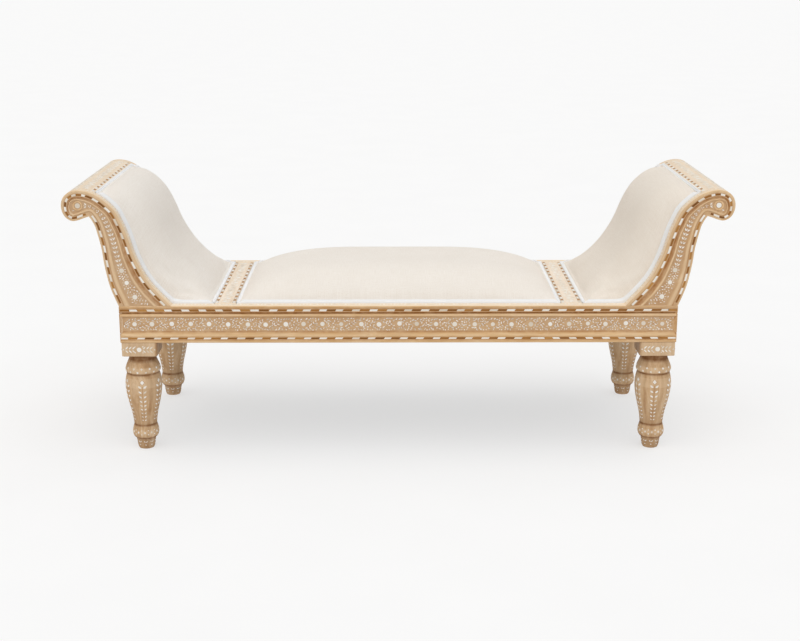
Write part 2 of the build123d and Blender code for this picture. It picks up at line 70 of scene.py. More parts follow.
# ---------------------------------------------------------------- curves
def smooth(points, step=4.0):
    """Points about step apart on a centripetal curve through the given ones."""
    p = [np.array(q, float) for q in points]
    p = [2 * p[0] - p[1]] + p + [2 * p[-1] - p[-2]]
    out = []
    for i in range(1, len(p) - 2):
        p0, p1, p2, p3 = p[i - 1:i + 3]
        t0 = 0.0
        t1 = t0 + math.dist(p0, p1) ** 0.5
        t2 = t1 + math.dist(p1, p2) ** 0.5
        t3 = t2 + math.dist(p2, p3) ** 0.5
        n = max(2, round(math.dist(p1, p2) / step))
        for k in range(n):
            t = t1 + (t2 - t1) * k / n
            a1 = p0 + (p1 - p0) * (t - t0) / (t1 - t0)
            a2 = p1 + (p2 - p1) * (t - t1) / (t2 - t1)
            a3 = p2 + (p3 - p2) * (t - t2) / (t3 - t2)
            b1 = a1 + (a2 - a1) * (t - t0) / (t2 - t0)
            b2 = a2 + (a3 - a2) * (t - t1) / (t3 - t1)
            out.append(b1 + (b2 - b1) * (t - t1) / (t2 - t1))
    out.append(p[-2])
    return np.array(out)


def lengths(pts):
    return np.concatenate([[0.0], np.cumsum(np.linalg.norm(np.diff(pts, axis=0), axis=1))])


def normals(pts, spread=0):
    """Left-hand unit normals of a line in (x, z)."""
    t = np.empty_like(pts)
    t[1:-1] = pts[2:] - pts[:-2]
    t[0], t[-1] = pts[1] - pts[0], pts[-1] - pts[-2]
    n = np.stack([-t[:, 1], t[:, 0]], 1)
    n /= np.linalg.norm(n, axis=1)[:, None]
    if spread:
        idx = np.clip(np.arange(len(n))[:, None] + np.arange(-spread, spread + 1), 0, len(n) - 1)
        n = n[idx].sum(1)
        n /= np.linalg.norm(n, axis=1)[:, None]
    return n


class Line:
    """A line in (x, z) that is read by its length."""

    def __init__(self, pts, spread=0):
        self.p = np.asarray(pts, float)
        self.s = lengths(self.p)
        self.n = normals(self.p, spread)
        self.length = self.s[-1]

    def at(self, s):
        return np.stack([np.interp(s, self.s, self.p[:, k]) for k in (0, 1)], -1)

    def normal(self, s):
        n = np.stack([np.interp(s, self.s, self.n[:, k]) for k in (0, 1)], -1)
        return n / np.linalg.norm(n, axis=-1)[..., None]

    def near(self, x, z):
        return float(self.s[np.argmin((self.p[:, 0] - x) ** 2 + (self.p[:, 1] - z) ** 2)])


def rise(d, reach, p=2.4):
    """Rounded shoulder: 0 at the edge, 1 from reach inward."""
    u = 1 - np.clip(np.asarray(d, float) / reach, 0, 1)
    return (1 - u ** p) ** (1 / 1.6)


# ---------------------------------------------------------------- materials
def lin(r, g, b):
    out = [c / 255 for c in (r, g, b)]
    return tuple(c / 12.92 if c <= 0.04045 else ((c + 0.055) / 1.055) ** 2.4 for c in out) + (1.0,)


class Mat:
    def __init__(self, name):
        self.m = bpy.data.materials.new(name)
        self.m.use_nodes = True
        self.t = self.m.node_tree
        self.t.nodes.clear()
        out = self.t.nodes.new("ShaderNodeOutputMaterial")
        self.b = self.t.nodes.new("ShaderNodeBsdfPrincipled")
        self.t.links.new(self.b.outputs[0], out.inputs[0])

    def put(self, sock, value):
        if isinstance(value, bpy.types.NodeSocket):
            self.t.links.new(value, sock)
        else:
            sock.default_value = value

    def set(self, **values):
        for k, v in values.items():
            self.put(self.b.inputs[k.replace("_", " ")], v)

    def attr(self, name, out="Fac"):
        n = self.t.nodes.new("ShaderNodeAttribute")
        n.attribute_name = name
        return n.outputs[out]

    def coord(self):
        return self.t.nodes.new("ShaderNodeTexCoord").outputs["Object"]

    def island(self):
        return self.t.nodes.new("ShaderNodeNewGeometry").outputs["Random Per Island"]

    def mapped(self, vec, scale=(1, 1, 1), loc=(0, 0, 0), rot=(0, 0, 0)):
        n = self.t.nodes.new("ShaderNodeMapping")
        self.put(n.inputs["Vector"], vec)
        n.inputs["Scale"].default_value = scale
        n.inputs["Location"].default_value = loc
        n.inputs["Rotation"].default_value = rot
        return n.outputs[0]

    def noise(self, vec, scale, detail=3.0, rough=0.5, bend=0.0):
        n = self.t.nodes.new("ShaderNodeTexNoise")
        self.put(n.inputs["Vector"], vec)
        n.inputs["Scale"].default_value = scale
        n.inputs["Detail"].default_value = detail
        n.inputs["Roughness"].default_value = rough
        n.inputs["Distortion"].default_value = bend
        return n.outputs["Fac"]

    def wave(self, vec, scale, direction="X", bend=0.0, detail=2.0, detail_scale=1.0):
        n = self.t.nodes.new("ShaderNodeTexWave")
        n.bands_direction = direction
        self.put(n.inputs["Vector"], vec)
        n.inputs["Scale"].default_value = scale
        n.inputs["Distortion"].default_value = bend
        n.inputs["Detail"].default_value = detail
        n.inputs["Detail Scale"].default_value = detail_scale
        return n.outputs["Fac"]

    def ramp(self, fac, stops):
        n = self.t.nodes.new("ShaderNodeValToRGB")
        while len(n.color_ramp.elements) < len(stops):
            n.color_ramp.elements.new(0.5)
        for e, (pos, col) in zip(n.color_ramp.elements, stops):
            e.position, e.color = pos, col
        self.put(n.inputs["Fac"], fac)
        return n.outputs["Color"]

    def range(self, value, a, b, c=0.0, d=1.0):
        n = self.t.nodes.new("ShaderNodeMapRange")
        self.put(n.inputs["Value"], value)
        for k, v in zip(("From Min", "From Max", "To Min", "To Max"), (a, b, c, d)):
            n.inputs[k].default_value = v
        return n.outputs[0]

    def math(self, op, a, b=0.0, clamp=False):
        n = self.t.nodes.new("ShaderNodeMath")
        n.operation, n.use_clamp = op, clamp
        self.put(n.inputs[0], a)
        self.put(n.inputs[1], b)
        return n.outputs[0]

    def mix(self, fac, a, b, blend="MIX"):
        n = self.t.nodes.new("ShaderNodeMix")
        n.data_type, n.blend_type = "RGBA", blend
        self.put(n.inputs[0], fac)
        self.put(n.inputs[6], a)
        self.put(n.inputs[7], b)
        return n.outputs[2]

    def bump(self, height, strength, distance, below=None):
        n = self.t.nodes.new("ShaderNodeBump")
        n.inputs["Strength"].default_value = strength
        n.inputs["Distance"].default_value = distance
        self.put(n.inputs["Height"], height)
        if below is not None:
            self.put(n.inputs["Normal"], below)
        return n.outputs[0]


def wood(name, base, dark, pale, stain_and_shade, lime_and_light, axis=None, rough=0.52, streak=0.45, gloss=0.16):
    """Sanded light hardwood. The grain runs along x of the piece's grain attribute, or along an axis of the frame."""
    m = Mat(name)
    if axis is None:
        g = m.attr("grain", "Vector")
    else:
        turn = {"x": (0, 0, 0), "y": (0, 0, -math.pi / 2), "z": (0, math.pi / 2, 0)}[axis]
        g = m.mapped(m.coord(), rot=turn)
    figure = m.noise(m.mapped(g, (4.5, 62, 62)), 1.0, 4.0, 0.55, 0.9)
    fine = m.noise(m.mapped(g, (16, 420, 420)), 1.0, 3.0, 0.6, 0.2)
    pores = m.noise(m.mapped(g, (55, 1500, 1500)), 1.0, 1.0, 0.5)
    blotch = m.noise(g, 13.0, 4.0, 0.6)
    broad = m.noise(m.mapped(g, (7.0, 24, 24)), 1.0, 4.0, 0.6, 1.4)
    col = m.ramp(figure, [(0.30, dark), (0.50, base), (0.74, pale)])
    col = m.mix(m.range(broad, 0.52, 0.72, 0.0, streak), col, dark)
    col = m.mix(m.range(broad, 0.30, 0.44, streak, 0.0), col, pale)
    col = m.mix(m.range(fine, 0.40, 0.70, 0.0, 0.30), col, dark)
    col = m.mix(m.range(pores, 0.60, 0.72, 0.0, 0.30), col, stain_and_shade)
    col = m.mix(m.range(blotch, 0.35, 0.70, 0.0, 0.38), col, lime_and_light)
    # The lime attribute greys the wood toward the lime colour, and below zero it lightens the wood. On the left-end
    # cheeks it also carries painted light, and on the leg blocks' inner sides it is cleared as part of painted shade.
    col = m.mix(m.math("MULTIPLY", m.attr("lime_and_light"), 0.75, True), col, lime_and_light)
    col = m.mix(m.math("MULTIPLY", m.attr("lime_and_light"), -0.85, True), col, lin(238, 221, 197))
    # Positive tone mixes toward the stain colour. This gives stain in the grooves of the rails and cheeks, and on the
    # legs it gives painted shade in the neck under each block and on the blocks' inner sides. Negative tone mixes
    # toward pale.
    tone = m.attr("tone")
    patchy_tone = m.range(m.noise(g, 55.0, 3.0, 0.6), 0.30, 0.70, 0.55, 1.15)
    col = m.mix(m.math("MULTIPLY", m.math("MULTIPLY", tone, patchy_tone), 0.9, True), col, stain_and_shade)
    col = m.mix(m.math("MULTIPLY", m.math("MULTIPLY", tone, -1.0), 0.8, True), col, pale)
    m.set(Base_Color=col, Roughness=m.range(fine, 0.3, 0.7, rough - 0.06, rough + 0.12))
    m.b.inputs["Specular IOR Level"].default_value = gloss
    b = m.bump(fine, 0.10, 0.0006)
    b = m.bump(pores, 0.16, 0.0005, b)
    m.set(Normal=b)
    return m.m


HONEY = dict(base=lin(219, 181, 133), dark=lin(200, 157, 105), pale=lin(235, 205, 164), stain_and_shade=lin(160, 104, 50),
             lime_and_light=lin(211, 185, 154))
M_WOOD = wood("honey_wood", streak=0.85, **HONEY)
M_LEG = wood("limed_wood", base=lin(202, 165, 124), dark=lin(168, 126, 83), pale=lin(226, 200, 167),
             stain_and_shade=lin(116, 72, 35), lime_and_light=lin(207, 181, 150), streak=0.85, gloss=0.06)
PALE = dict(base=lin(232, 210, 182), dark=lin(220, 192, 157), pale=lin(240, 224, 202), stain_and_shade=lin(196, 146, 92),
            lime_and_light=lin(238, 226, 208))
M_PALE = wood("pale_wood", **PALE)
M_PALE_Y = wood("pale_wood_bars", axis="y", base=lin(234, 217, 196), dark=lin(222, 201, 175), pale=lin(241, 229, 213),
                stain_and_shade=lin(196, 150, 98), lime_and_light=lin(238, 229, 216))
M_WOOD_Y = wood("honey_wood_boards", axis="y", **HONEY)
M_INNER = wood("inner_pine", base=lin(206, 170, 122), dark=lin(182, 140, 92), pale=lin(222, 192, 150),
               stain_and_shade=lin(140, 98, 58), lime_and_light=lin(205, 178, 140), axis="x", rough=0.62)


def bone(name="bone_chips", age=0):
    m = Mat(name)
    c = m.coord()
    k = m.island()
    streak = m.noise(m.mapped(c, (900, 260, 900)), 1.0, 3.0, 0.6)
    col = m.ramp(k, [(0.0, lin(212 - age, 198 - age, 178 - age)), (0.3, lin(230 - age, 222 - age, 209 - age)), (0.7, lin(238 - age, 233 - age, 224 - age)),
                     (1.0, lin(243 - age // 2, 240 - age // 2, 233 - age // 2))])
    col = m.mix(m.range(streak, 0.45, 0.75, 0.0, 0.35), col, lin(214, 199, 175))
    m.set(Base_Color=col, Roughness=m.range(streak, 0.3, 0.7, 0.30, 0.42))
    m.set(Normal=m.bump(streak, 0.08, 0.0004))
    return m.m


def dark_inlay():
    m = Mat("dark_wood_inlay")
    g = m.attr("grain", "Vector")
    k = m.island()
    streak = m.noise(m.mapped(g, (60, 900, 900)), 1.0, 3.0, 0.6)
    col = m.ramp(k, [(0.0, lin(122, 79, 36)), (0.4, lin(148, 99, 46)), (0.75, lin(165, 113, 54)), (1.0, lin(194, 142, 77))])
    col = m.mix(m.range(streak, 0.40, 0.70, 0.0, 0.40), col, lin(114, 71, 30))
    m.set(Base_Color=col, Roughness=m.range(streak, 0.3, 0.7, 0.46, 0.58))
    m.b.inputs["Specular IOR Level"].default_value = 0.2
    m.set(Normal=m.bump(streak, 0.12, 0.0004))
    return m.m


def linen(name="natural_linen", warm_light=0.0):
    # The warm amount shifts every linen colour warmer: painted warm light, not the cloth's own colour.
    tint = lambda r, g, b: lin(r - warm_light, g - 4 * warm_light, b - 8 * warm_light)
    m = Mat(name)
    w = m.attr("weave", "Vector")
    pitch = 1.05e-3
    k = math.pi / pitch / 2 / math.pi * 2
    warp = m.wave(w, k * math.pi / 10 * 2, "X", 0.0, 0.0)
    weft = m.wave(w, k * math.pi / 10 * 2, "Y", 0.0, 0.0)
    slub_u = m.noise(m.mapped(w, (1100, 26, 1)), 1.0, 2.0, 0.6)
    slub_v = m.noise(m.mapped(w, (26, 1100, 1)), 1.0, 2.0, 0.6)
    cloud = m.noise(m.mapped(w, (1, 1, 1)), 9.0, 4.0, 0.55)
    fleck = m.noise(m.mapped(w, (1, 1, 1)), 420.0, 2.0, 0.6)
    weave = m.math("ADD", m.math("MULTIPLY", warp, slub_u), m.math("MULTIPLY", weft, slub_v))
    col = m.mix(m.range(slub_u, 0.35, 0.70, 0.0, 0.55), tint(240, 234, 226), tint(226, 216, 204))
    col = m.mix(m.range(slub_v, 0.40, 0.70, 0.0, 0.40), col, tint(247, 243, 237))
    col = m.mix(m.range(fleck, 0.56, 0.72, 0.0, 0.45), col, tint(214, 202, 186))
    col = m.mix(m.range(cloud, 0.38, 0.68, 0.0, 0.30), col, tint(232, 224, 214))
    m.set(Base_Color=col, Roughness=m.range(weave, 0.2, 1.0, 0.92, 0.80))
    m.b.inputs["Sheen Weight"].default_value = 0.12
    m.b.inputs["Sheen Roughness"].default_value = 0.5
    m.b.inputs["Specular IOR Level"].default_value = 0.2
    m.set(Normal=m.bump(weave, 0.45, 0.0005))
    return m.m


def gimp_cotton():
    m = Mat("white_gimp")
    w = m.attr("weave", "Vector")
    yarn = m.wave(m.mapped(w, (1, 1, 1), rot=(0, 0, 0.7)), 330.0, "X", 1.2, 2.0, 2.0)
    dirt = m.noise(w, 60.0, 3.0, 0.6)
    col = m.mix(m.range(yarn, 0.0, 0.9, 0.45, 0.0), lin(240, 241, 243), lin(222, 220, 217))
    col = m.mix(m.range(dirt, 0.45, 0.75, 0.0, 0.25), col, lin(228, 225, 221))
    m.set(Base_Color=col, Roughness=m.range(yarn, 0.0, 1.0, 0.9, 0.78))
    m.b.inputs["Sheen Weight"].default_value = 0.15
    m.set(Normal=m.bump(yarn, 0.35, 0.0004))
    return m.m


def simple(name, a, b, scale, rough=(0.6, 0.8), metal=0.0, stretch=(1, 1, 1), bump=0.15):
    m = Mat(name)
    n = m.noise(m.mapped(m.coord(), stretch), scale, 4.0, 0.6)
    m.set(Base_Color=m.ramp(n, [(0.30, a), (0.70, b)]), Roughness=m.range(n, 0.3, 0.7, *rough))
    m.b.inputs["Metallic"].default_value = metal
    m.set(Normal=m.bump(n, bump, 0.0005))
    return m.m


M_BONE, M_DARK, M_LINEN, M_GIMP = bone(), dark_inlay(), linen(), gimp_cotton()
# Painted light: the right end panels use this warmer linen to stand for a warm light falling on them from the left.
M_LINEN_WARM_LIT = linen("linen_painted_warm_light", 0.8)
M_BONE_OLD = bone("bone_chips_worn", 20)
M_PLY = simple("birch_plywood", lin(206, 176, 132), lin(226, 200, 160), 14.0, stretch=(1, 9, 40))
M_STEEL = simple("zinc_steel", lin(150, 152, 156), lin(190, 192, 194), 240.0, (0.25, 0.42), 1.0, bump=0.05)
M_FOAM = simple("upholstery_foam", lin(226, 214, 172), lin(240, 231, 200), 700.0, (0.85, 0.95), bump=0.5)
M_STEM = simple("lac_line", lin(166, 120, 76), lin(190, 146, 100), 260.0, (0.45, 0.6))
M_TAN = simple("tan_wood_inlay", lin(156, 108, 52), lin(194, 144, 80), 120.0, (0.42, 0.56))


def dust_cloth():
    m = Mat("dust_cambric")
    c = m.coord()
    a = m.wave(c, 210.0, "X", 0.4, 2.0)
    b = m.wave(c, 210.0, "Y", 0.4, 2.0)
    w = m.math("MULTIPLY", a, b)
    n = m.noise(c, 35.0, 4.0, 0.6)
    col = m.mix(m.range(w, 0.0, 0.8), lin(58, 55, 52), lin(84, 80, 76))
    col = m.mix(m.range(n, 0.4, 0.7, 0.0, 0.4), col, lin(98, 93, 87))
    m.set(Base_Color=col, Roughness=m.range(w, 0.0, 1.0, 0.95, 0.85))
    m.set(Normal=m.bump(w, 0.3, 0.0004))
    return m.m


M_DUST = dust_cloth()


# ---------------------------------------------------------------- mesh building
def make(name, verts, faces, materials, stands_for=(), attrs=None, face_mat=None, sharp=38.0):
    me = bpy.data.meshes.new(name)
    me.from_pydata((np.asarray(verts, float) * MM).tolist(), [], [list(map(int, f)) for f in faces])
    me.update()
    for key, values in (attrs or {}).items():
        values = np.asarray(values, float)
        kind = "FLOAT_VECTOR" if values.ndim == 2 else "FLOAT"
        layer = me.attributes.new(key, kind, "POINT")
        layer.data.foreach_set("vector" if values.ndim == 2 else "value", values.astype("f").ravel())
    for m in materials if isinstance(materials, (list, tuple)) else [materials]:
        me.materials.append(m)
    if face_mat is not None:
        me.polygons.foreach_set("material_index", np.asarray(face_mat, "i"))
    me.polygons.foreach_set("use_smooth", np.ones(len(me.polygons), bool))
    me.set_sharp_from_angle(angle=math.radians(sharp))
    me.update()
    ob = bpy.data.objects.new(name, me)
    bpy.context.scene.collection.objects.link(ob)
    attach(ob, "root")
    if stands_for:
        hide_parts(*stands_for)
    return ob


def grid_faces(rows, cols, close_rows=False, flip=False, base=0):
    """Quads over a rows x cols grid of points."""
    out = []
    for i in range(rows if close_rows else rows - 1):
        k = (i + 1) % rows
        for j in range(cols - 1):
            q = (base + i * cols + j, base + i * cols + j + 1, base + k * cols + j + 1, base + k * cols + j)
            out.append(q[::-1] if flip else q)
    return out


def mirrored(verts, faces, sx, sy):
    """The same mesh reflected in x and/or y, still facing outward."""
    v = np.asarray(verts, float) * np.array([sx, sy, 1.0])
    return v, ([f[::-1] for f in faces] if sx * sy < 0 else faces)


class Inlay:
    """Thin chips let into a surface. A surface is a function of (u, v, height) with u x v pointing out."""

    def __init__(self):
        self.v, self.f, self.m, self.g = [], [], [], []
        self.n = 0

    def _add(self, rings, caps, mat, grain):
        k, base = len(rings[0]), self.n
        for r in rings:
            self.v.append(r)
            self.n += len(r)
        for a in range(len(rings) - 1):
            for i in range(k):
                j = (i + 1) % k
                self.f.append((base + a * k + i, base + (a + 1) * k + i, base + (a + 1) * k + j, base + a * k + j))
                self.m.append(mat)
        self.f.append(tuple(base + i for i in range(k)))
        self.m.append(mat)
        self.g += [grain] * len(rings)

    def chip(self, surf, outline, mat=0, top=0.32, root=-0.5, inner=0.80):
        o = np.asarray(outline, float)
        c = o.mean(0)
        i = c + (o - c) * inner
        n = np.ones(len(o))
        rings = [surf(i[:, 0], i[:, 1], top * n), surf(o[:, 0], o[:, 1], (top - 0.14) * n), surf(o[:, 0], o[:, 1], root * n)]
        self._add(rings, True, mat, np.stack([o[:, 0], o[:, 1], n], 1) * MM)

    def bar(self, surf, u0, u1, v0, v1, slant=0.0, mat=0, top=0.25, root=-0.5, steps=1):
        """A banding piece with slanted ends, from u0 to u1."""
        t = np.linspace(0, 1, steps + 1)
        low = np.stack([u0 + (u1 - u0) * t, np.full(steps + 1, v0)], 1)
        high = np.stack([u0 + slant + (u1 - u0) * t, np.full(steps + 1, v1)], 1)[::-1]
        o = np.concatenate([low, high])
        n = np.ones(len(o))
        c = np.array([0, (v0 + v1) / 2])
        i = o + np.concatenate([np.tile([0, 0.22], (steps + 1, 1)), np.tile([0, -0.22], (steps + 1, 1))])
        i[0, 0] += 0.2
        i[steps, 0] -= 0.2
        i[steps + 1, 0] -= 0.2
        i[-1, 0] += 0.2
        rings = [surf(i[:, 0], i[:, 1], top * n), surf(o[:, 0], o[:, 1], (top - 0.12) * n), surf(o[:, 0], o[:, 1], root * n)]
        k, base = len(o), self.n
        for r in rings:
            self.v.append(r)
            self.n += len(r)
        for a in range(2):
            for x in range(k):
                y = (x + 1) % k
                self.f.append((base + a * k + x, base + (a + 1) * k + x, base + (a + 1) * k + y, base + a * k + y))
                self.m.append(mat)
        for x in range(steps):
            self.f.append((base + x, base + x + 1, base + k - 2 - x, base + k - 1 - x))
            self.m.append(mat)
        self.g += [np.stack([o[:, 0] + 13 * self.n, o[:, 1], n], 1) * MM] * 3

    def stem(self, surf, pts, width=1.0, mat=0, top=0.10, root=-0.3):
        """A thin line along points (u, v)."""
        p = np.asarray(pts, float)
        n = normals(p)
        a, b = p + n * width / 2, p - n * width / 2
        o = np.concatenate([b, a[::-1]])
        h = np.ones(len(o))
        rings = [surf(o[:, 0], o[:, 1], top * h), surf(o[:, 0], o[:, 1], root * h)]
        k, base, m = len(o), self.n, len(p)
        for r in rings:
            self.v.append(r)
            self.n += len(r)
        for x in range(k):
            y = (x + 1) % k
            self.f.append((base + x, base + k + x, base + k + y, base + y))
            self.m.append(mat)
        for x in range(m - 1):
            self.f.append((base + x, base + x + 1, base + k - 2 - x, base + k - 1 - x))
            self.m.append(mat)
        self.g += [np.stack([o[:, 0], o[:, 1], h], 1) * MM] * 2

    def arrays(self):
        return np.concatenate(self.v), list(self.f), list(self.m), np.concatenate(self.g)


def join(parts):
    """One mesh from several (verts, faces, mats, grain)."""
    v, f, m, g, n = [], [], [], [], 0
    for a, b, c, d in parts:
        v.append(a)
        f += [tuple(n + i for i in q) for q in b]
        m += list(c)
        g.append(d)
        n += len(a)
    return np.concatenate(v), f, m, np.concatenate(g)


def copies(inlay, signs):
    v, f, m, g = inlay.arrays()
    return join([mirrored(v, f, sx, sy) + (m, g + 0.37 * k) for k, (sx, sy) in enumerate(signs)])


def turned(outline, angle, at):
    c, s = math.cos(angle), math.sin(angle)
    o = np.asarray(outline, float)
    return np.stack([at[0] + o[:, 0] * c - o[:, 1] * s, at[1] + o[:, 0] * s + o[:, 1] * c], 1)


def disc(r, n=14):
    a = np.arange(n) * 2 * math.pi / n
    return np.stack([r * np.cos(a), r * np.sin(a)], 1)


def leaf(length, width, n=4):
    """Pointed almond from the origin along +x."""
    t = np.linspace(0, 1, n + 1)
    w = width / 2 * np.sin(np.pi * t ** 0.85) ** 0.85
    low = np.stack([t * length, -w], 1)
    high = np.stack([t * length, w], 1)[::-1][1:-1]
    return np.concatenate([low, high])


def lozenge(w, h):
    return np.array([(0, -h / 2), (w / 4 * 1.05, -h / 4), (w / 2, 0), (w / 4 * 1.05, h / 4), (0, h / 2), (-w / 4 * 1.05, h / 4),
                     (-w / 2, 0), (-w / 4 * 1.05, -h / 4)])


def tooth(w, h):
    return np.array([(-w / 2, 0), (0, 0), (w / 2, 0), (w / 4, h * 0.52), (0, h), (-w / 4, h * 0.52)])


def dashes(inlay, surf, u0, u1, v0, v1, slant=2.0, period=46.5, share=0.47, seg=0, mats=(0, 1), phase=None, root=-0.5, top=0.25):
    """Bone and dark pieces in turn along a band."""
    u = u0
    k = RNG.randint(0, 1) if phase is None else phase
    while u < u1 - 3:
        w = period * (share if k % 2 == 0 else 1 - share) * RNG.uniform(0.93, 1.08)
        e = min(u + w, u1)
        if u1 - e < 6:
            e = u1
        first, last = u <= u0 + 1e-6, e >= u1 - 1e-6
        steps = max(1, int((e - u) / seg)) if seg else 1
        inlay.bar(surf, u + 0.12, e - 0.12, v0, v1, 0.0 if first or last else slant, mats[k % 2], top, root, steps)
        u = e
        k += 1


def jitter(a):
    return RNG.uniform(-a, a)


# ---------------------------------------------------------------- rails
# outward place, height, stain
RAIL = [(-36, 422, 0), (-10, 422, -0.1), (-2.0, 422, -0.25), (-0.9, 421.7, -0.2), (-0.2, 420.9, 0.1), (0, 419.6, 0.35),
        (0, 416.8, 0.5), (-0.3, 415.2, 0.6), (-0.9, 414.3, 0.7), (-1.5, 413.9, 0.7), (-1.5, 413.2, 0.5), (-1.5, 405.4, 0.5),
        (-1.5, 404.8, 0.5), (-2.1, 404.3, 0.7), (-3.8, 403.9, 0.95), (-6.1, 403.1, 1.1), (-6.7, 401.7, 1.1), (-6.1, 400.5, 0.95),
        (-4.5, 399.7, 0.6), (-3.2, 399.0, 0.25), (-2.5, 397.9, -0.1), (-2.2, 396.4, -0.4), (-2.2, 394.8, -0.4), (-2.5, 393.2, -0.2),
        (-3.2, 391.9, 0.15), (-4.6, 391.0, 0.5), (-6.6, 390.5, 0.7), (-7.4, 389.9, 0.6), (-7.4, 387.5, 0.4), (-7.4, 383, 0.34),
        (-7.4, 355, 0.34), (-7.4, 350.5, 0.45), (-7.4, 348.4, 0.8), (-6.8, 347.0, 0.6), (-4.9, 344.0, 0.2), (-3.3, 341.4, -0.1),
        (-2.3, 339.3, -0.3), (-1.9, 337.4, -0.2), (-1.8, 335.6, 0.3), (-1.8, 334.0, 0.55), (-1.8, 326.0, 0.55),
        (-1.5, 325.2, 0.75), (-0.7, 324.6, 0.45), (-0.1, 323.4, 0.15), (0, 321.6, 0.0), (-0.2, 319.8, 0.1), (-0.8, 318.6, 0.3),
        (-1.8, 318, 0.3), (-36, 318, 0.2)]


def front(u, d, z):
    return np.stack([u, -(HALF_D + d), z], -1)


def rear(u, d, z):
    return np.stack([-u, HALF_D + d, z], -1)


def right(u, d, z):
    return np.stack([HALF_L + d, u, z], -1)


def left(u, d, z):
    return np.stack([-HALF_L - d, -u, z], -1)


SIDES = [("front", front, HALF_L), ("rear", rear, HALF_L), ("right_end", right, HALF_D), ("left_end", left, HALF_D)]
# the end rails are flat, with two scored lines
END_RAIL = [(-36, 422, 0), (-10, 422, -0.1), (-2.0, 422, -0.25), (-0.9, 421.7, -0.35), (-0.2, 420.9, -0.3), (0, 419.6, -0.15),
            (0, 413.4, 0.35), (0, 405.2, 0.35), (0, 402.4, 0.3), (-0.9, 401.6, 0.9), (-1.4, 400.8, 1.1), (-0.9, 400.0, 0.9), (0, 399.2, 0.2),
            (0, 396, -0.2), (0, 391, 0.2), (0, 388, 0.34), (0, 350, 0.34), (0, 348.6, 0.2), (0, 346.6, 0.3), (-0.9, 345.8, 0.9), (-1.4, 345, 1.1),
            (-0.9, 344.2, 0.9), (0, 343.4, 0.2), (0, 338, -0.2), (0, 334, 0.35), (0, 325.8, 0.35), (0, 323, 0.1), (0, 320, 0.0),
            (-0.4, 318.6, 0.2), (-1.4, 318, 0.3), (-36, 318, 0.2)]
for k, (side, place, half) in enumerate(SIDES):
    prof = np.array(RAIL if half == HALF_L else END_RAIL, float)
    cols = 41
    t = np.linspace(-1, 1, cols)
    d = np.repeat(prof[:, 0:1], cols, 1)
    z = np.repeat(prof[:, 1:2], cols, 1)
    u = (half + d) * t[None]
    v = place(u.ravel(), d.ravel(), z.ravel())
    n = len(prof)
    faces = grid_faces(n, cols, close_rows=True)
    faces.append([i * cols for i in range(n)])
    faces.append([i * cols + cols - 1 for i in range(n)][::-1])
    lime_and_light = np.where(z > 421.9, -1.0, np.where((z > 347.5) & (z < 391) & (d < -7), 0.55, 0.0))
    make(side + "_rail_moulded", v, faces, M_WOOD, [side + "_rail"],
         dict(grain=np.stack([u.ravel() + 700 * k, d.ravel() + 90 * k, z.ravel()], 1) * MM, tone=np.repeat(prof[:, 2], cols),
              lime_and_light=lime_and_light.ravel()))


def on(place, floor):
    return lambda u, v, h: place(u, floor + h, v)


bands = Inlay()
for side, place, half in SIDES:
    a, b = (-1.5, -1.8) if half == HALF_L else (0.0, 0.0)
    turn = -half * 0.5
    dashes(bands, on(place, a), -half + 1.6, turn, 407.0, 412.4, slant=-3.2, share=0.45)
    dashes(bands, on(place, a), turn, half - 1.6, 407.0, 412.4, slant=3.2, share=0.45)
    dashes(bands, on(place, b), -half + 1.9, -turn, 328.0, 332.6, slant=3.0, period=45.0, share=0.45)
    dashes(bands, on(place, b), -turn, half - 1.9, 328.0, 332.6, slant=-3.0, period=45.0, share=0.45)
v, f, m, g = bands.arrays()
make("rail_dash_banding", v, f, [M_BONE, M_DARK], ["front_rail_banding", "rear_rail_banding", "end_rail_banding"],
     dict(grain=g), m)

FRIEZE = 369.2


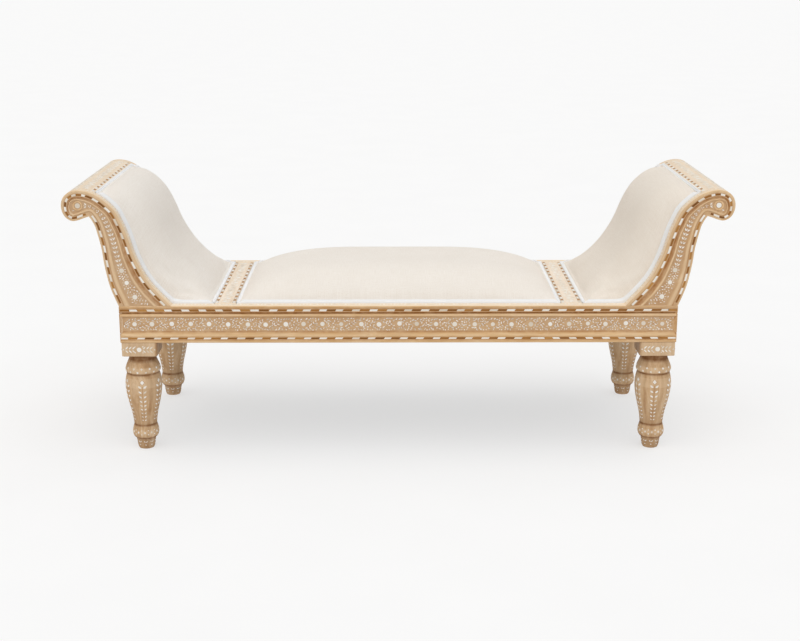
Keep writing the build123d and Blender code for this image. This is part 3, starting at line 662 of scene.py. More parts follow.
def frieze(inlay, surf, half, unit=52.0):
    """Discs on the centre line with two leafy stems that weave round them."""
    count = max(2, round((2 * half - 24) / unit))
    pitch = (2 * half - 24) / count
    u0 = -half + 12 + pitch / 2
    centres = [u0 + pitch * k for k in range(count)]
    for c in centres:
        r = RNG.choice([6.2, 6.4, 5.7, 6.7])
        spot = (c + jitter(2.6), FRIEZE + jitter(1.5))
        inlay.chip(surf, turned(disc(r), RNG.random(), spot))
    us = np.arange(-half + 10, half - 10, 3.0)
    near = []
    for sign in (1, -1):
        near = near[:0] if sign > 0 else sorted(near)
        wave = FRIEZE + sign * 12.2 * np.cos(np.pi * (us - u0) / pitch)
        inlay.stem(surf, np.stack([us, wave], 1), 0.9, 1)
        line = Line(np.stack([us, wave], 1))
        s = 3.0
        side = 1
        while s < line.length - 3:
            p = line.at(s)
            q = line.at(min(s + 1, line.length)) - line.at(max(s - 1, 0))
            run = math.atan2(q[1], q[0])
            for way in (1, -1):
                a = run + way * (0.8 + jitter(0.6))
                ln, wd = RNG.uniform(5.6, 9.4), RNG.uniform(2.5, 3.6)
                at = (p[0] + 0.9 * math.cos(a), p[1] + 0.9 * math.sin(a))
                tip = (at[0] + ln * math.cos(a), at[1] + ln * math.sin(a))
                if abs(tip[1] - FRIEZE) > 19.6 or abs(tip[0]) > half - 10:
                    continue
                if min(math.hypot(tip[0] - c, tip[1] - FRIEZE) for c in centres) < 9.4:
                    continue
                if any(math.hypot((at[0] + tip[0]) / 2 - x, (at[1] + tip[1]) / 2 - y) < 4.6 for x, y in near):
                    continue
                near.append(((at[0] + tip[0]) / 2, (at[1] + tip[1]) / 2))
                inlay.chip(surf, turned(leaf(ln, wd, 3), a, at), 2 if RNG.random() < 0.62 else 0)
            s += 7.6 + jitter(1.6)
    for _ in range(int(half)):
        p = (RNG.uniform(15 - half, half - 15), FRIEZE + RNG.uniform(-17.0, 17.0))
        if min(math.hypot(p[0] - c, p[1] - FRIEZE) for c in centres) < 10.5 or any(math.hypot(p[0] - x, p[1] - y) < 5.4 for x, y in near):
            continue
        near.append(p)
        a, ln = RNG.uniform(0, 2 * math.pi), RNG.uniform(4.2, 6.4)
        at = (p[0] - ln / 2 * math.cos(a), p[1] - ln / 2 * math.sin(a))
        inlay.chip(surf, turned(leaf(ln, RNG.uniform(2.0, 2.9), 3), a, at), 2 if RNG.random() < 0.7 else 0)
    for k, c in enumerate(centres[:-1] + [centres[-1]]):
        for dv in (16.6, -16.6):
            inlay.chip(surf, turned(disc(1.7, 8), 0, (c + pitch / 2 + jitter(2), FRIEZE + dv)))
            inlay.chip(surf, turned(disc(1.4, 8), 0, (c + pitch / 2 + 7 + jitter(1), FRIEZE + dv * 0.96)))
            inlay.chip(surf, turned(disc(1.4, 8), 0, (c + pitch / 2 - 7 + jitter(1), FRIEZE + dv * 0.96)))


flowers = Inlay()
for side, place, half in SIDES:
    frieze(flowers, on(place, -7.4 if half == HALF_L else 0.0), half)


def flat_top(u, v, h):
    return np.stack([u, v, RAIL_TOP + h], -1)


# dog-tooth edging along the top of the long rails
for sign in (-1, 1):
    for x in np.arange(-616, 617, 9.6):
        o = turned(tooth(8.2, 8.0), 0 if sign < 0 else math.pi, (x + jitter(0.3), sign * 281.5))
        flowers.chip(flat_top, o if sign < 0 else o, 0, top=0.22)
v, f, m, g = flowers.arrays()
make("rail_floral_inlay", v, f, [M_BONE, M_STEM, M_BONE_OLD], (), dict(grain=g), m)

# ---------------------------------------------------------------- scroll cheeks
crest = smooth([(582, 377.4), (602, 399.7)] + INNER + VOLUTE, 3.0)
outer = smooth(OUTER + [(753.6, 394.3), (742.3, 366.5)], 3.0)
CREST, OUTER_L = Line(crest), Line(outer)
S_BASE = CREST.near(622, 422)
n1, n2 = CREST.n, OUTER_L.n
a1, a2 = math.atan2(n1[-1][1], n1[-1][0]), math.atan2(n2[0][1], n2[0][0])
if a2 < a1:
    a2 += 2 * math.pi
fan_a = np.linspace(a1, a2, 9)[1:-1]
fan_n = np.stack([np.cos(fan_a), np.sin(fan_a)], 1)
edge = np.concatenate([crest, np.repeat(crest[-1:], len(fan_a), 0), outer])
enrm = np.concatenate([n1, fan_n, n2])
keys = [S_BASE, CREST.near(693, 508), CREST.near(738, 629), CREST.near(848, 740), CREST.near(906, 703), CREST.near(878, 658), CREST.length]
width = np.concatenate([np.interp(CREST.s, keys, [37, 37, 29, 27.5, 24.0, 21.0, 21.0]), np.linspace(21, 23, len(fan_a)),
                        np.interp(-outer[:, 1], [-670, -540, -422], [23, 27, 32])])
blend = np.concatenate([np.interp(CREST.s, [keys[4], keys[5]], [0, 1]), np.ones(len(fan_a)), np.ones(len(outer))])
# distance in from the edge, depth, stain: seat side, then outer side
TYPE_A = np.array([(0, 2.2, 0), (0.35, 1.1, -0.2), (1.0, 0.35, -0.3), (2.0, 0, -0.2), (6.4, 0, 0.1), (7.6, 0.35, 0.55), (8.0, 0.5, 0.4),
                   (15.6, 0.5, 0.4), (16.0, 0.35, 0.6), (16.8, 0.7, 0.8), (18.5, 1.9, 1.05), (21.5, 3.0, 0.95), (25.0, 3.3, 0.75),
                   (28.0, 2.6, 0.7), (29.6, 1.2, 0.2), (31.0, 0.55, -0.35), (32.6, 0.5, -0.4), (34.2, 1.0, -0.1), (35.4, 2.2, 0.4),
                   (37.0, 3.2, 0.5)])
TYPE_B = np.array([(0, 2.2, 0), (0.35, 1.1, -0.2), (1.0, 0.35, -0.3), (1.8, 0, -0.1), (4.0, 0, 0.2), (4.7, 0.35, 0.55), (5.0, 0.5, 0.4),
                   (12.6, 0.5, 0.4), (13.0, 0.35, 0.6), (13.6, 0.8, 0.8), (14.6, 1.5, 0.75), (16.5, 1.0, 0.25), (19.5, 0.4, -0.1),
                   (22.5, 0.15, -0.25), (25.0, 0.3, -0.1), (27.0, 0.9, 0.15), (28.6, 1.5, 0.35), (29.8, 2.1, 0.45), (30.8, 2.7, 0.5),
                   (32.0, 3.2, 0.5)])
K = len(TYPE_A)
mixed = TYPE_A[None] * (1 - blend[:, None, None]) + TYPE_B[None] * blend[:, None, None]
dd = mixed[:, :, 0]
stop = dd[:, 8:9]
scale = (width[:, None] - stop) / (dd[:, -1:] - stop)
dd = np.where(dd > stop, stop + (dd - stop) * scale, dd)
rows = len(edge)
face_x = edge[:, None, 0] - enrm[:, None, 0] * dd
face_z = edge[:, None, 1] - enrm[:, None, 1] * dd
face_y = -HALF_D + mixed[:, :, 1]
cv = np.concatenate([np.stack([edge[:, 0], np.full(rows, -HALF_D + 30), edge[:, 1]], 1)[:, None],
                     np.stack([face_x, face_y, face_z], 2)], 1)
ctone = np.concatenate([np.zeros((rows, 1)), mixed[:, :, 2]], 1)
cols = K + 1
cheek_v = cv.reshape(-1, 3)
cheek_t = ctone.ravel()
cheek_lime = np.zeros((rows, cols))
cheek_lime[:, 0:2] = -0.8
cheek_lime[:, 2:] = 0.42
cheek_lime[:, -1] = 0.68
cheek_lime = cheek_lime.ravel()
cheek_f = [q[::-1] for q in grid_faces(rows, cols)]
panel_ring = [i * cols + cols - 1 for i in range(rows)]
tris = tessellate_polygon([[Vector((*cheek_v[i][[0, 2]], 0)) for i in panel_ring]])
PANEL = cheek_v[panel_ring][:, [0, 2]]


def up_y(face):
    """Faces turned to the front."""
    p = cheek_v[list(face)]
    return face if np.cross(p[1] - p[0], p[2] - p[0])[1] < 0 else face[::-1]


cheek_f += [up_y(tuple(panel_ring[i] for i in t)) for t in tris]
back = [i * cols for i in range(rows)]
back_t = tessellate_polygon([[Vector((*cheek_v[i][[0, 2]], 0)) for i in back]])
cheek_f += [up_y(tuple(back[i] for i in t))[::-1] for t in back_t]
lean = np.array([0.42, 0.0, 0.907])
cross = np.array([0.907, 0.0, -0.42])
cheek_g = np.stack([cheek_v @ lean, cheek_v @ cross, cheek_v[:, 1]], 1) * MM


def trim_below(ob, z):
    bm = bmesh.new()
    bm.from_mesh(ob.data)
    bmesh.ops.remove_doubles(bm, verts=bm.verts, dist=2e-6)
    cut = bmesh.ops.bisect_plane(bm, geom=bm.verts[:] + bm.edges[:] + bm.faces[:], plane_co=(0, 0, z * MM), plane_no=(0, 0, 1),
                                 clear_inner=True, dist=1e-7)
    rim = [e for e in bm.edges if e.is_boundary]
    bmesh.ops.holes_fill(bm, edges=rim, sides=0)
    bmesh.ops.recalc_face_normals(bm, faces=bm.faces)
    bm.to_mesh(ob.data)
    bm.free()
    ob.data.polygons.foreach_set("use_smooth", np.ones(len(ob.data.polygons), bool))
    ob.data.set_sharp_from_angle(angle=math.radians(38))
    ob.data.update()


CORNERS = [("front_right", 1, 1), ("front_left", -1, 1), ("rear_right", 1, -1), ("rear_left", -1, -1)]
for k, (corner, sx, sy) in enumerate(CORNERS):
    v, f = mirrored(cheek_v, cheek_f, sx, sy)
    # Painted light: the two left-end cheeks get less tone and more lime, so they look paler and cooler, as if under a
    # cool light from the left.
    ob = make(corner + "_cheek_carved", v, f, M_WOOD, [corner + "_cheek"],
              dict(grain=cheek_g + np.array([0.9, 0.4, 0.0]) * k, tone=cheek_t - (0.10 if sx < 0 else 0.0), lime_and_light=cheek_lime + (0.30 if sx < 0 else 0.0) * (cheek_lime > 0)))
    trim_below(ob, RAIL_TOP)


def cheek_band(s, d, h):
    """On the front face of a right cheek, along the crest, d in from its edge."""
    p, n = CREST.at(s), CREST.normal(s)
    return np.stack([p[:, 0] - n[:, 0] * d, np.full(len(p), -HALF_D + 0.5) - h, p[:, 1] - n[:, 1] * d], -1)


def outer_band(s, d, h):
    p, n = OUTER_L.at(s), OUTER_L.normal(s)
    return np.stack([p[:, 0] - n[:, 0] * d, np.full(len(p), -HALF_D + 0.5) - h, p[:, 1] - n[:, 1] * d], -1)


def band_edge(s):
    """The band's outer edge: it closes up to the rim along the volute's underside."""
    return np.interp(s, [keys[4], keys[5]], [8.0, 5.0])


cheek_bands = Inlay()
flipped = lambda surf: (lambda u, v, h: surf(u, -v, h))
dashes(cheek_bands, lambda u, v, h: cheek_band(u, band_edge(u) - v, h), CREST.near(631.5, 432), keys[3], -6.3, -0.9, slant=-2.0, period=42.0, seg=4, phase=0)
dashes(cheek_bands, lambda u, v, h: cheek_band(u, band_edge(u) - v, h), keys[3], CREST.length - 5.0, -6.3, -0.9, slant=-1.5, period=33.0, share=0.48, seg=3, phase=1)
dashes(cheek_bands, lambda u, v, h: outer_band(u, 5.0 - v, h), 3.0, OUTER_L.near(767.5, 428), -6.1, -0.9, slant=-2.0, period=41.0, seg=4, phase=0)
v, f, m, g = copies(cheek_bands, [(1, 1), (-1, 1), (1, -1), (-1, -1)])
make("cheek_dash_banding", v, f, [M_BONE, M_DARK], ["left_cheek_banding", "right_cheek_banding"], dict(grain=g), m)


def panel(u, v, h):
    return np.stack([u, np.full(len(u), -HALF_D + 3.2) - h, v], -1)


def inside(poly, x, z):
    px, pz = poly[:, 0], poly[:, 1]
    qx, qz = np.roll(px, -1), np.roll(pz, -1)
    hit = (pz > z) != (qz > z)
    xi = px + (z - pz) * (qx - px) / np.where(qz == pz, 1e-9, qz - pz)
    return bool(np.count_nonzero(hit & (x < xi)) % 2)


def clearance(poly, x, z):
    a, b = poly, np.roll(poly, -1, 0)
    ab = b - a
    t = np.clip(((np.array([x, z]) - a) * ab).sum(1) / np.maximum((ab ** 2).sum(1), 1e-9), 0, 1)
    return float(np.min(np.linalg.norm(a + ab * t[:, None] - np.array([x, z]), axis=1)))


panel_poly = PANEL[np.concatenate([[True], np.linalg.norm(np.diff(PANEL, axis=0), axis=1) > 0.05])]
# middle line of the sunk panel, from the base to the eye
mid = []
for s in np.linspace(S_BASE + 4, keys[3] + 8, 60):
    p, n = CREST.at(s), CREST.normal(s)
    best = None
    lo = np.interp(s, keys, [37, 37, 29, 27.5, 24.0, 21.0, 21.0])
    for d in np.arange(lo + 1, lo + 75, 1.0):
        q = p - n * d
        if not inside(panel_poly, q[0], q[1]):
            continue
        c = clearance(panel_poly, q[0], q[1])
        if best is None or c > best[0]:
            best = (c, q)
    if best is not None:
        mid.append(best[1])
mid = np.array([q for q in mid if q[1] > 424])
for _ in range(6):
    mid[1:-1] = (mid[:-2] + 2 * mid[1:-1] + mid[2:]) / 4
MID = Line(mid)

leaves = Inlay()
taken = []


def plant(o, reach):
    c = np.asarray(o).mean(0)
    taken.append((c[0], c[1], reach))
    leaves.chip(panel, o)


for z, r in ((447, 6.9), (487, 6.0), (521, 6.6)):
    x = float(np.interp(z, mid[:60, 1], mid[:60, 0])) if True else 0
    plant(turned(disc(r), 0.2, (x, z)), r + 2)
    for q in range(9):
        a = q * 2 * math.pi / 9
        if clearance(panel_poly, x + (r + 3.4) * math.cos(a), z + (r + 3.4) * math.sin(a)) > 2.0:
            plant(turned(leaf(4.4, 2.3, 3), a, (x + (r + 1.5) * math.cos(a), z + (r + 1.5) * math.sin(a))), 2.6)
s = MID.near(0, 536) if False else float(np.interp(533, mid[:45, 1], MID.s[:45]))
leaves.stem(panel, MID.at(np.arange(4, MID.length - 3, 3.0)), 0.9, 1)
while s < MID.length - 12:
    p = MID.at(s)
    q = MID.at(s + 1) - MID.at(s - 1)
    run = math.atan2(q[1], q[0])
    room = clearance(panel_poly, p[0], p[1])
    ln = min(9.6, room * 1.12)
    if ln > 3.0:
        for way in (1, -1):
            a = run + way * 0.8
            plant(turned(leaf(ln, ln * 0.45, 3), a, (p[0] + 0.9 * math.cos(a), p[1] + 0.9 * math.sin(a))), ln * 0.5)
        plant(turned(leaf(4.6, 2.3, 3), run, (p[0] + 4.2 * math.cos(run), p[1] + 4.2 * math.sin(run))), 2.5)
    s += 12.2
plant(turned(disc(7.0, 20), 0, EYE), 9)
# small leaves over the rest of the panel
tries = 0
lo, hi = panel_poly.min(0), panel_poly.max(0)
while tries < 9000:
    tries += 1
    x, z = RNG.uniform(lo[0], hi[0]), RNG.uniform(max(lo[1], 424.0), hi[1])
    if not inside(panel_poly, x, z) or clearance(panel_poly, x, z) < 3.6 or math.hypot(x - EYE[0], z - EYE[1]) < 17 or z < 426.5:
        continue
    if any((x - a) ** 2 + (z - b) ** 2 < (r + 3.1) ** 2 for a, b, r in taken):
        continue
    near = min(taken[:3], key=lambda t: (t[0] - x) ** 2 + (t[1] - z) ** 2)
    a = math.atan2(z - near[1], x - near[0]) + math.pi / 2 + jitter(0.6)
    ln = RNG.uniform(5.2, 7.4)
    o = turned(leaf(ln, ln * 0.42, 3), a, (x - ln / 2 * math.cos(a), z - ln / 2 * math.sin(a)))
    plant(o, 2.6)


def crest_edge(s, y, h):
    """On the cheek's thickness, along the crest."""
    p, n = CREST.at(s), CREST.normal(s)
    return np.stack([p[:, 0] + n[:, 0] * h, y, p[:, 1] + n[:, 1] * h], -1)


for s in np.arange(S_BASE + 9, keys[3] + 40, 9.4):
    leaves.chip(crest_edge, turned(tooth(8.0, 7.6), 0, (s + jitter(0.3), -281.0)), 0, top=0.22)
v, f, m, g = copies(leaves, [(1, 1), (-1, 1), (1, -1), (-1, -1)])
make("cheek_floral_inlay", v, f, [M_BONE, M_STEM], (), dict(grain=g), m)

# turned ring round each volute's eye
ring_v, ring_f = [], []
A, B = 40, 10
for i in range(A):
    a = 2 * math.pi * i / A
    for j in range(B):
        b = 2 * math.pi * j / B
        r = 11.4 + 2.1 * math.cos(b)
        ring_v.append((EYE[0] + r * math.cos(a), -HALF_D + 3.3 - 1.7 * math.sin(b), EYE[1] + r * math.sin(a)))
for i in range(A):
    for j in range(B):
        ring_f.append((i * B + j, ((i + 1) % A) * B + j, ((i + 1) % A) * B + (j + 1) % B, i * B + (j + 1) % B))
ring_v = np.array(ring_v)
parts = []
for k, (_, sx, sy) in enumerate(CORNERS):
    v, f = mirrored(ring_v, ring_f, sx, sy)
    parts.append((v, f, [0] * len(f), np.stack([ring_v @ lean, ring_v @ cross, ring_v[:, 1]], 1) * MM + 0.31 * k))
v, f, m, g = join(parts)
make("volute_rings", v, f, M_WOOD, (), dict(grain=g, tone=np.full(len(v), -0.25)), sharp=60)

# ---------------------------------------------------------------- top rolls
k = int(np.argmax(crest[:, 0] >= ROLL_X))
t = (ROLL_X - crest[k - 1, 0]) / (crest[k, 0] - crest[k - 1, 0])
roll_pts = np.concatenate([[crest[k - 1] + t * (crest[k] - crest[k - 1])], crest[k + (t > 0.8):]])
ROLL = Line(roll_pts)
sec = np.concatenate([roll_pts, [[846.0, 697.0]]])
ys = np.linspace(-270, 270, 25)
n = len(sec)
rv = np.stack([np.repeat(sec[:, 0], len(ys)), np.tile(ys, n), np.repeat(sec[:, 1], len(ys))], 1)
rf = grid_faces(n, len(ys), close_rows=True, flip=True)
rf.append([i * len(ys) for i in range(n)])
rf.append([i * len(ys) + len(ys) - 1 for i in range(n)][::-1])
arc = np.concatenate([ROLL.s, [ROLL.length + 25]])
rg = np.stack([rv[:, 1], np.repeat(arc, len(ys)), np.zeros(len(rv))], 1) * MM
for k, (side, sx) in enumerate((("right", 1), ("left", -1))):
    v, f = mirrored(rv, rf, sx, 1)
    ob = make(side + "_roll_turned", v, f, M_PALE, [side + "_top_roll"],
              dict(grain=rg + 0.5 * k, tone=np.full(len(v), 0.0), lime_and_light=np.full(len(v), 0.4)))
    bm = bmesh.new()
    bm.from_mesh(ob.data)
    bmesh.ops.recalc_face_normals(bm, faces=bm.faces)
    bm.to_mesh(ob.data)
    bm.free()


def on_roll(s, y, h):
    p, nn = ROLL.at(s), ROLL.normal(s)
    return np.stack([p[:, 0] + nn[:, 0] * h, y, p[:, 1] + nn[:, 1] * h], -1)


roll_bands = Inlay()
dashes(roll_bands, lambda u, v, h: on_roll(v, u, h) if False else on_roll(-v, u, h), -269, 269, -10.6, -4.4, slant=0.0, period=42.0, share=0.56, seg=0)
rows_s = [24, 40, 58, 76]
v, f, m, g = copies(roll_bands, [(1, 1), (-1, 1)])
make("roll_dash_banding", v, f, [M_BONE, M_TAN], ["roll_banding"], dict(grain=g), m)

roll_flowers = Inlay()


def vine(inlay, surf, u_from, u_to, v_mid, amp, pitch, leaf_len, disc_r, lim, line_mat=1):
    """A wavy stem along u with discs in its bends and leaf pairs along it."""
    us = np.arange(u_from, u_to, 3.0)
    wave = v_mid + amp * np.sin(2 * np.pi * (us - u_from) / pitch)
    inlay.stem(surf, np.stack([us, wave], 1), 0.9 if line_mat else 1.5, line_mat)
    k = 0
    spots = []
    u = u_from + pitch / 4
    while u < u_to - 4:
        spots.append((u, v_mid - amp * 0.55 * (1 if k % 2 == 0 else -1)))
        inlay.chip(surf, turned(disc(disc_r, 12), 0.1, spots[-1]))
        u += pitch / 2
        k += 1
    line = Line(np.stack([us, wave], 1))
    s = 4.0
    while s < line.length - 4:
        p = line.at(s)
        q = line.at(s + 1) - line.at(s - 1)
        run = math.atan2(q[1], q[0])
        for way in (1, -1):
            a = run + way * (0.8 + jitter(0.12))
            ln = leaf_len * RNG.uniform(0.85, 1.1)
            at = (p[0] + 0.9 * math.cos(a), p[1] + 0.9 * math.sin(a))
            tip = (at[0] + ln * math.cos(a), at[1] + ln * math.sin(a))
            if abs(tip[1] - v_mid) > lim or not u_from < tip[0] < u_to:
                continue
            if spots and min(math.hypot((tip[0] + at[0]) / 2 - x, (tip[1] + at[1]) / 2 - y) for x, y in spots) < disc_r + 2.4:
                continue
            inlay.chip(surf, turned(leaf(ln, ln * 0.42, 3), a, at))
        s += 8.0


sideways = lambda surf: (lambda u, v, h: surf(-v, u, h))
for v_mid in (-31, -62, -93):
    vine(roll_flowers, sideways(on_roll), -262, 262, v_mid, 7.0, 62.0, 8.4, 5.4, 15.0, 0)
v, f, m, g = copies(roll_flowers, [(1, 1), (-1, 1)])
make("roll_floral_inlay", v, f, [M_BONE, M_STEM], (), dict(grain=g), m)

# ---------------------------------------------------------------- dividers
div = Inlay()
lengthwise = lambda surf: (lambda u, v, h: surf(-v, u, h))
for lo_x in (DIV_X0 + 2.0, DIV_X1 - 9.6):
    dashes(div, lengthwise(flat_top), -263.5, 263.5, -(lo_x + 6.9), -(lo_x + 0.9), slant=0.0, period=45.0, share=0.56, root=-1.8)
v, f, m, g = copies(div, [(1, 1), (-1, 1)])
make("divider_dash_banding", v, f, [M_BONE, M_TAN], ["divider_banding"], dict(grain=g), m)
div = Inlay()
vine(div, lengthwise(flat_top), -260, 260, -478.5, 6.0, 66.0, 10.0, 6.2, 18.0, 0)
v, f, m, g = copies(div, [(1, 1), (-1, 1)])
make("divider_floral_inlay", v, f, [M_BONE, M_STEM], (), dict(grain=g), m)

# ---------------------------------------------------------------- outer boards of the arms
BOARD = Line(smooth(OUTER, 4.0)[::-1])


def on_board(y, s, h):
    p, nn = BOARD.at(s), BOARD.normal(s)
    return np.stack([p[:, 0] - nn[:, 0] * (h - 3.0), y, p[:, 1] - nn[:, 1] * (h - 3.0)], -1)


board = Inlay()
top_s = BOARD.length - 14
for s in (14.0, top_s):
    dashes(board, on_board, -255, 255, s - 3.8, s + 3.8, slant=2.0, period=46.0)
for y in (-250.0, 250.0):
    dashes(board, lambda u, v, h: on_board(-v, u, h), 22, top_s - 8, -y - 3.8, -y + 3.8, slant=0.0, period=46.0, seg=5)
for s_mid in (48.0, 98.0, 148.0, 198.0):
    if s_mid < top_s - 20:
        vine(board, on_board, -232, 232, s_mid, 9.0, 92.0, 8.2, 5.8, 19.0)
v, f, m, g = copies(board, [(1, 1), (-1, 1)])
make("outer_board_inlay", v, f, [M_BONE, M_TAN], (), dict(grain=g), m)

# ---------------------------------------------------------------- turned legs
NECK = [(38.5, 278.5), (37.2, 274.5), (36.8, 270), (37.2, 266), (38.4, 262)]
TORUS = [(38.4, 262), (41.6, 254.5), (45.2, 246), (47.9, 238.5), (48.7, 233), (47.6, 227.6), (44.6, 223.4)]
VASE = [(44.6, 223.4), (47.8, 213), (50.2, 198.5), (50.8, 187.1), (49.8, 171.5), (47.6, 155.9), (44.4, 140.3), (40.8, 124.7),
        (37.2, 110.2), (34.2, 93.5), (32.4, 80), (31.8, 71.7)]
RINGS = [(31.8, 71.7), (34.4, 63.4), (36.6, 52), (35.8, 41.6), (32.2, 34.3)]
FOOT = [(32.2, 34.3), (28.2, 30.7), (26.2, 24.9), (24.8, 14.5), (23.0, 5.2), (20.5, 0)]
turning = np.concatenate([smooth(c, 2.2)[(0 if i == 0 else 1):] for i, c in enumerate((NECK, TORUS, VASE, RINGS, FOOT))])
SEG = 72
th = np.arange(SEG) * 2 * math.pi / SEG
sq = (np.abs(np.cos(th)) ** 26 + np.abs(np.sin(th)) ** 26) ** (-1 / 26)
h = LEG_BLOCK / 2
rings, tones, limes = [], [], []
# The block's underside ring is darkened and runs on into the painted shade of the neck below.
for half, z, tone in ((h - 1.6, 318, 0.2), (h - 0.5, 317.5, 0.05), (h, 316.2, -0.3), (h, 312, -0.25), (h, 298, -0.2), (h, 284, -0.25), (h, 280.6, -0.3),
                      (h - 0.5, 279.2, 0.0), (h - 1.8, 278.5, 0.2), (h - 6, 278.5, 0.4)):
    rings.append((half * sq, z))
    tones.append(tone)
    limes.append(0.55)
for i, (r, z) in enumerate(turning):
    if i == 0:
        continue
    rings.append((np.full(SEG, r), z))
    # Tone of the turning: darker in the three pinch grooves, painted shade in the neck under the block, darker down the
    # lower vase and on the foot, and lighter on the torus, the ring and the vase belly.
    groove = min(abs(z - q) for q in (223.4, 71.7, 34.3))
    t = 1.0 * math.exp(-(groove / 3.2) ** 2) + 1.0 * min(max((z - 255) / 9, 0), 1) + (0.45 if z < 34 else 0.0)
    t += 0.30 * min(max((150 - z) / 80, 0), 1) if z > 72 else 0.0
    tones.append(t - (0.35 if 229 < z < 243 or 46 < z < 58 or 185 < z < 212 else 0.0))
    limes.append(0.15)
leg_v = np.concatenate([np.stack([r * np.sin(th), -r * np.cos(th), np.full(SEG, z)], 1) for r, z in rings])
leg_f = []
for i in range(len(rings) - 1):
    for j in range(SEG):
        k = (j + 1) % SEG
        leg_f.append((i * SEG + j, (i + 1) * SEG + j, (i + 1) * SEG + k, i * SEG + k))
leg_f.append([j for j in range(SEG)][::1])
leg_f.append([(len(rings) - 1) * SEG + j for j in range(SEG)][::-1])
leg_g = np.stack([leg_v[:, 2], leg_v[:, 0], leg_v[:, 1]], 1) * MM
TURN_Z, TURN_R = turning[::-1, 1], turning[::-1, 0]


def leg_at(cx, cy, spin):
    def surf(u, z, hh):
        r = np.interp(z, TURN_Z, TURN_R)
        a = u + spin
        return np.stack([cx + (r + hh) * np.sin(a), cy - (r + hh) * np.cos(a), z], -1)
    return surf


def leg_local(surf, a0, z0):
    """A patch in millimetres round the point at angle a0 and height z0."""
    r = float(np.interp(z0, TURN_Z, TURN_R))
    return lambda u, v, hh: surf(a0 + u / r, z0 + v, hh)


def block_face(cx, cy, quarter):
    a = quarter * math.pi / 2
    c, s = math.cos(a), math.sin(a)

    def surf(u, z, hh):
        x, y = u, -(h + hh)
        return np.stack([cx + x * c - y * s, cy + x * s + y * c, z], -1)
    return surf


leg_bits = Inlay()
for k, (corner, sx, sy) in enumerate(CORNERS):
    cx, cy = LEG_X * sx, -LEG_Y * sy
    # Painted shade: the inner sides of the leg blocks face under the seat. They are pushed toward the stain colour and
    # lose their pale wash.
    inner = (leg_v[:, 2] > 278.6) & (-sx * leg_v[:, 0] > h - 2.0)
    ob = make(corner + "_leg_turned", leg_v + np.array([cx, cy, 0]), leg_f, M_LEG, [corner + "_leg"],
              dict(grain=leg_g + 0.41 * k, tone=np.repeat(tones, SEG) + 0.75 * inner, lime_and_light=np.repeat(limes, SEG) * (1 - inner)), sharp=32)
    bm = bmesh.new()
    bm.from_mesh(ob.data)
    bmesh.ops.recalc_face_normals(bm, faces=bm.faces)
    bm.to_mesh(ob.data)
    bm.free()
    surf = leg_at(cx, cy, -0.08 * sx)
    for q in range(4):
        if q == (3 if sx > 0 else 1):
            continue
        s = block_face(cx, cy, q)
        zc = 298.2
        leg_bits.chip(s, turned(disc(6.6), 0.2, (0, zc)))
        for way in (1, -1):
            for j in range(3):
                x0 = way * (14.5 + j * 9.6)
                for tilt in (1, -1):
                    leg_bits.chip(s, turned(leaf(11.2, 3.7, 4), tilt * 0.80, (x0 - 4.0, zc + tilt * 1.2)))
            leg_bits.chip(s, turned(disc(2.1, 9), 0, (way * 43.0, zc)))
            for tilt in (1, -1):
                leg_bits.chip(s, turned(disc(1.6, 8), 0, (way * 10.5, zc + tilt * 8.5)))
    # torus: two rows in step
    for j in range(13):
        a = j * 2 * math.pi / 13
        leg_bits.chip(leg_local(surf, a, 240.6), turned(lozenge(6.8, 6.8), 0, (0, 0)))
        leg_bits.chip(leg_local(surf, a + math.pi / 13, 231.2), turned(lozenge(7.0, 6.6), 0, (0, 0)))
    # sprays down the vase
    for j in range(6):
        a = j * math.pi / 3
        leg_bits.chip(leg_local(surf, a, 203.0), lozenge(15.0, 15.6), 1, top=0.12)
        leg_bits.chip(leg_local(surf, a, 203.0), lozenge(11.6, 12.4), 0, top=0.34)
        z = 190.0
        while z > 84:
            size = np.interp(z, [84, 190], [5.8, 11.6])
            loc = leg_local(surf, a, z)
            for way in (1, -1):
                leg_bits.chip(loc, turned(leaf(size, size * 0.50, 4), math.pi / 2 - way * 0.92, (way * size * 0.24, -size * 0.3)))
            z -= np.interp(z, [84, 190], [9.8, 15.0])
        leg_bits.stem(lambda u, v, hh, a=a: surf(a + u / 40.0, v, hh), [(0, q) for q in np.arange(193, 84, -6.0)], 1.2, 1)
    # ring and foot
    for j in range(12):
        a = j * math.pi / 6
        leg_bits.chip(leg_local(surf, a, 52.0), turned(lozenge(6.0, 7.6), 0, (0, 0)))
        leg_bits.chip(leg_local(surf, a + math.pi / 12, 57.8), disc(1.8, 8))
        leg_bits.chip(leg_local(surf, a + math.pi / 12, 46.2), disc(1.8, 8))
    for j in range(9):
        a = j * 2 * math.pi / 9
        for way in (1, -1):
            leg_bits.chip(leg_local(surf, a, 21.0), turned(leaf(7.0, 3.0, 3), math.pi / 2 - way * 0.7, (way * 0.8, -2.0)))
        leg_bits.chip(leg_local(surf, a, 12.0), disc(1.7, 8))
v, f, m, g = leg_bits.arrays()
make("leg_floral_inlay", v, f, [M_BONE, M_STEM], (), dict(grain=g), m)


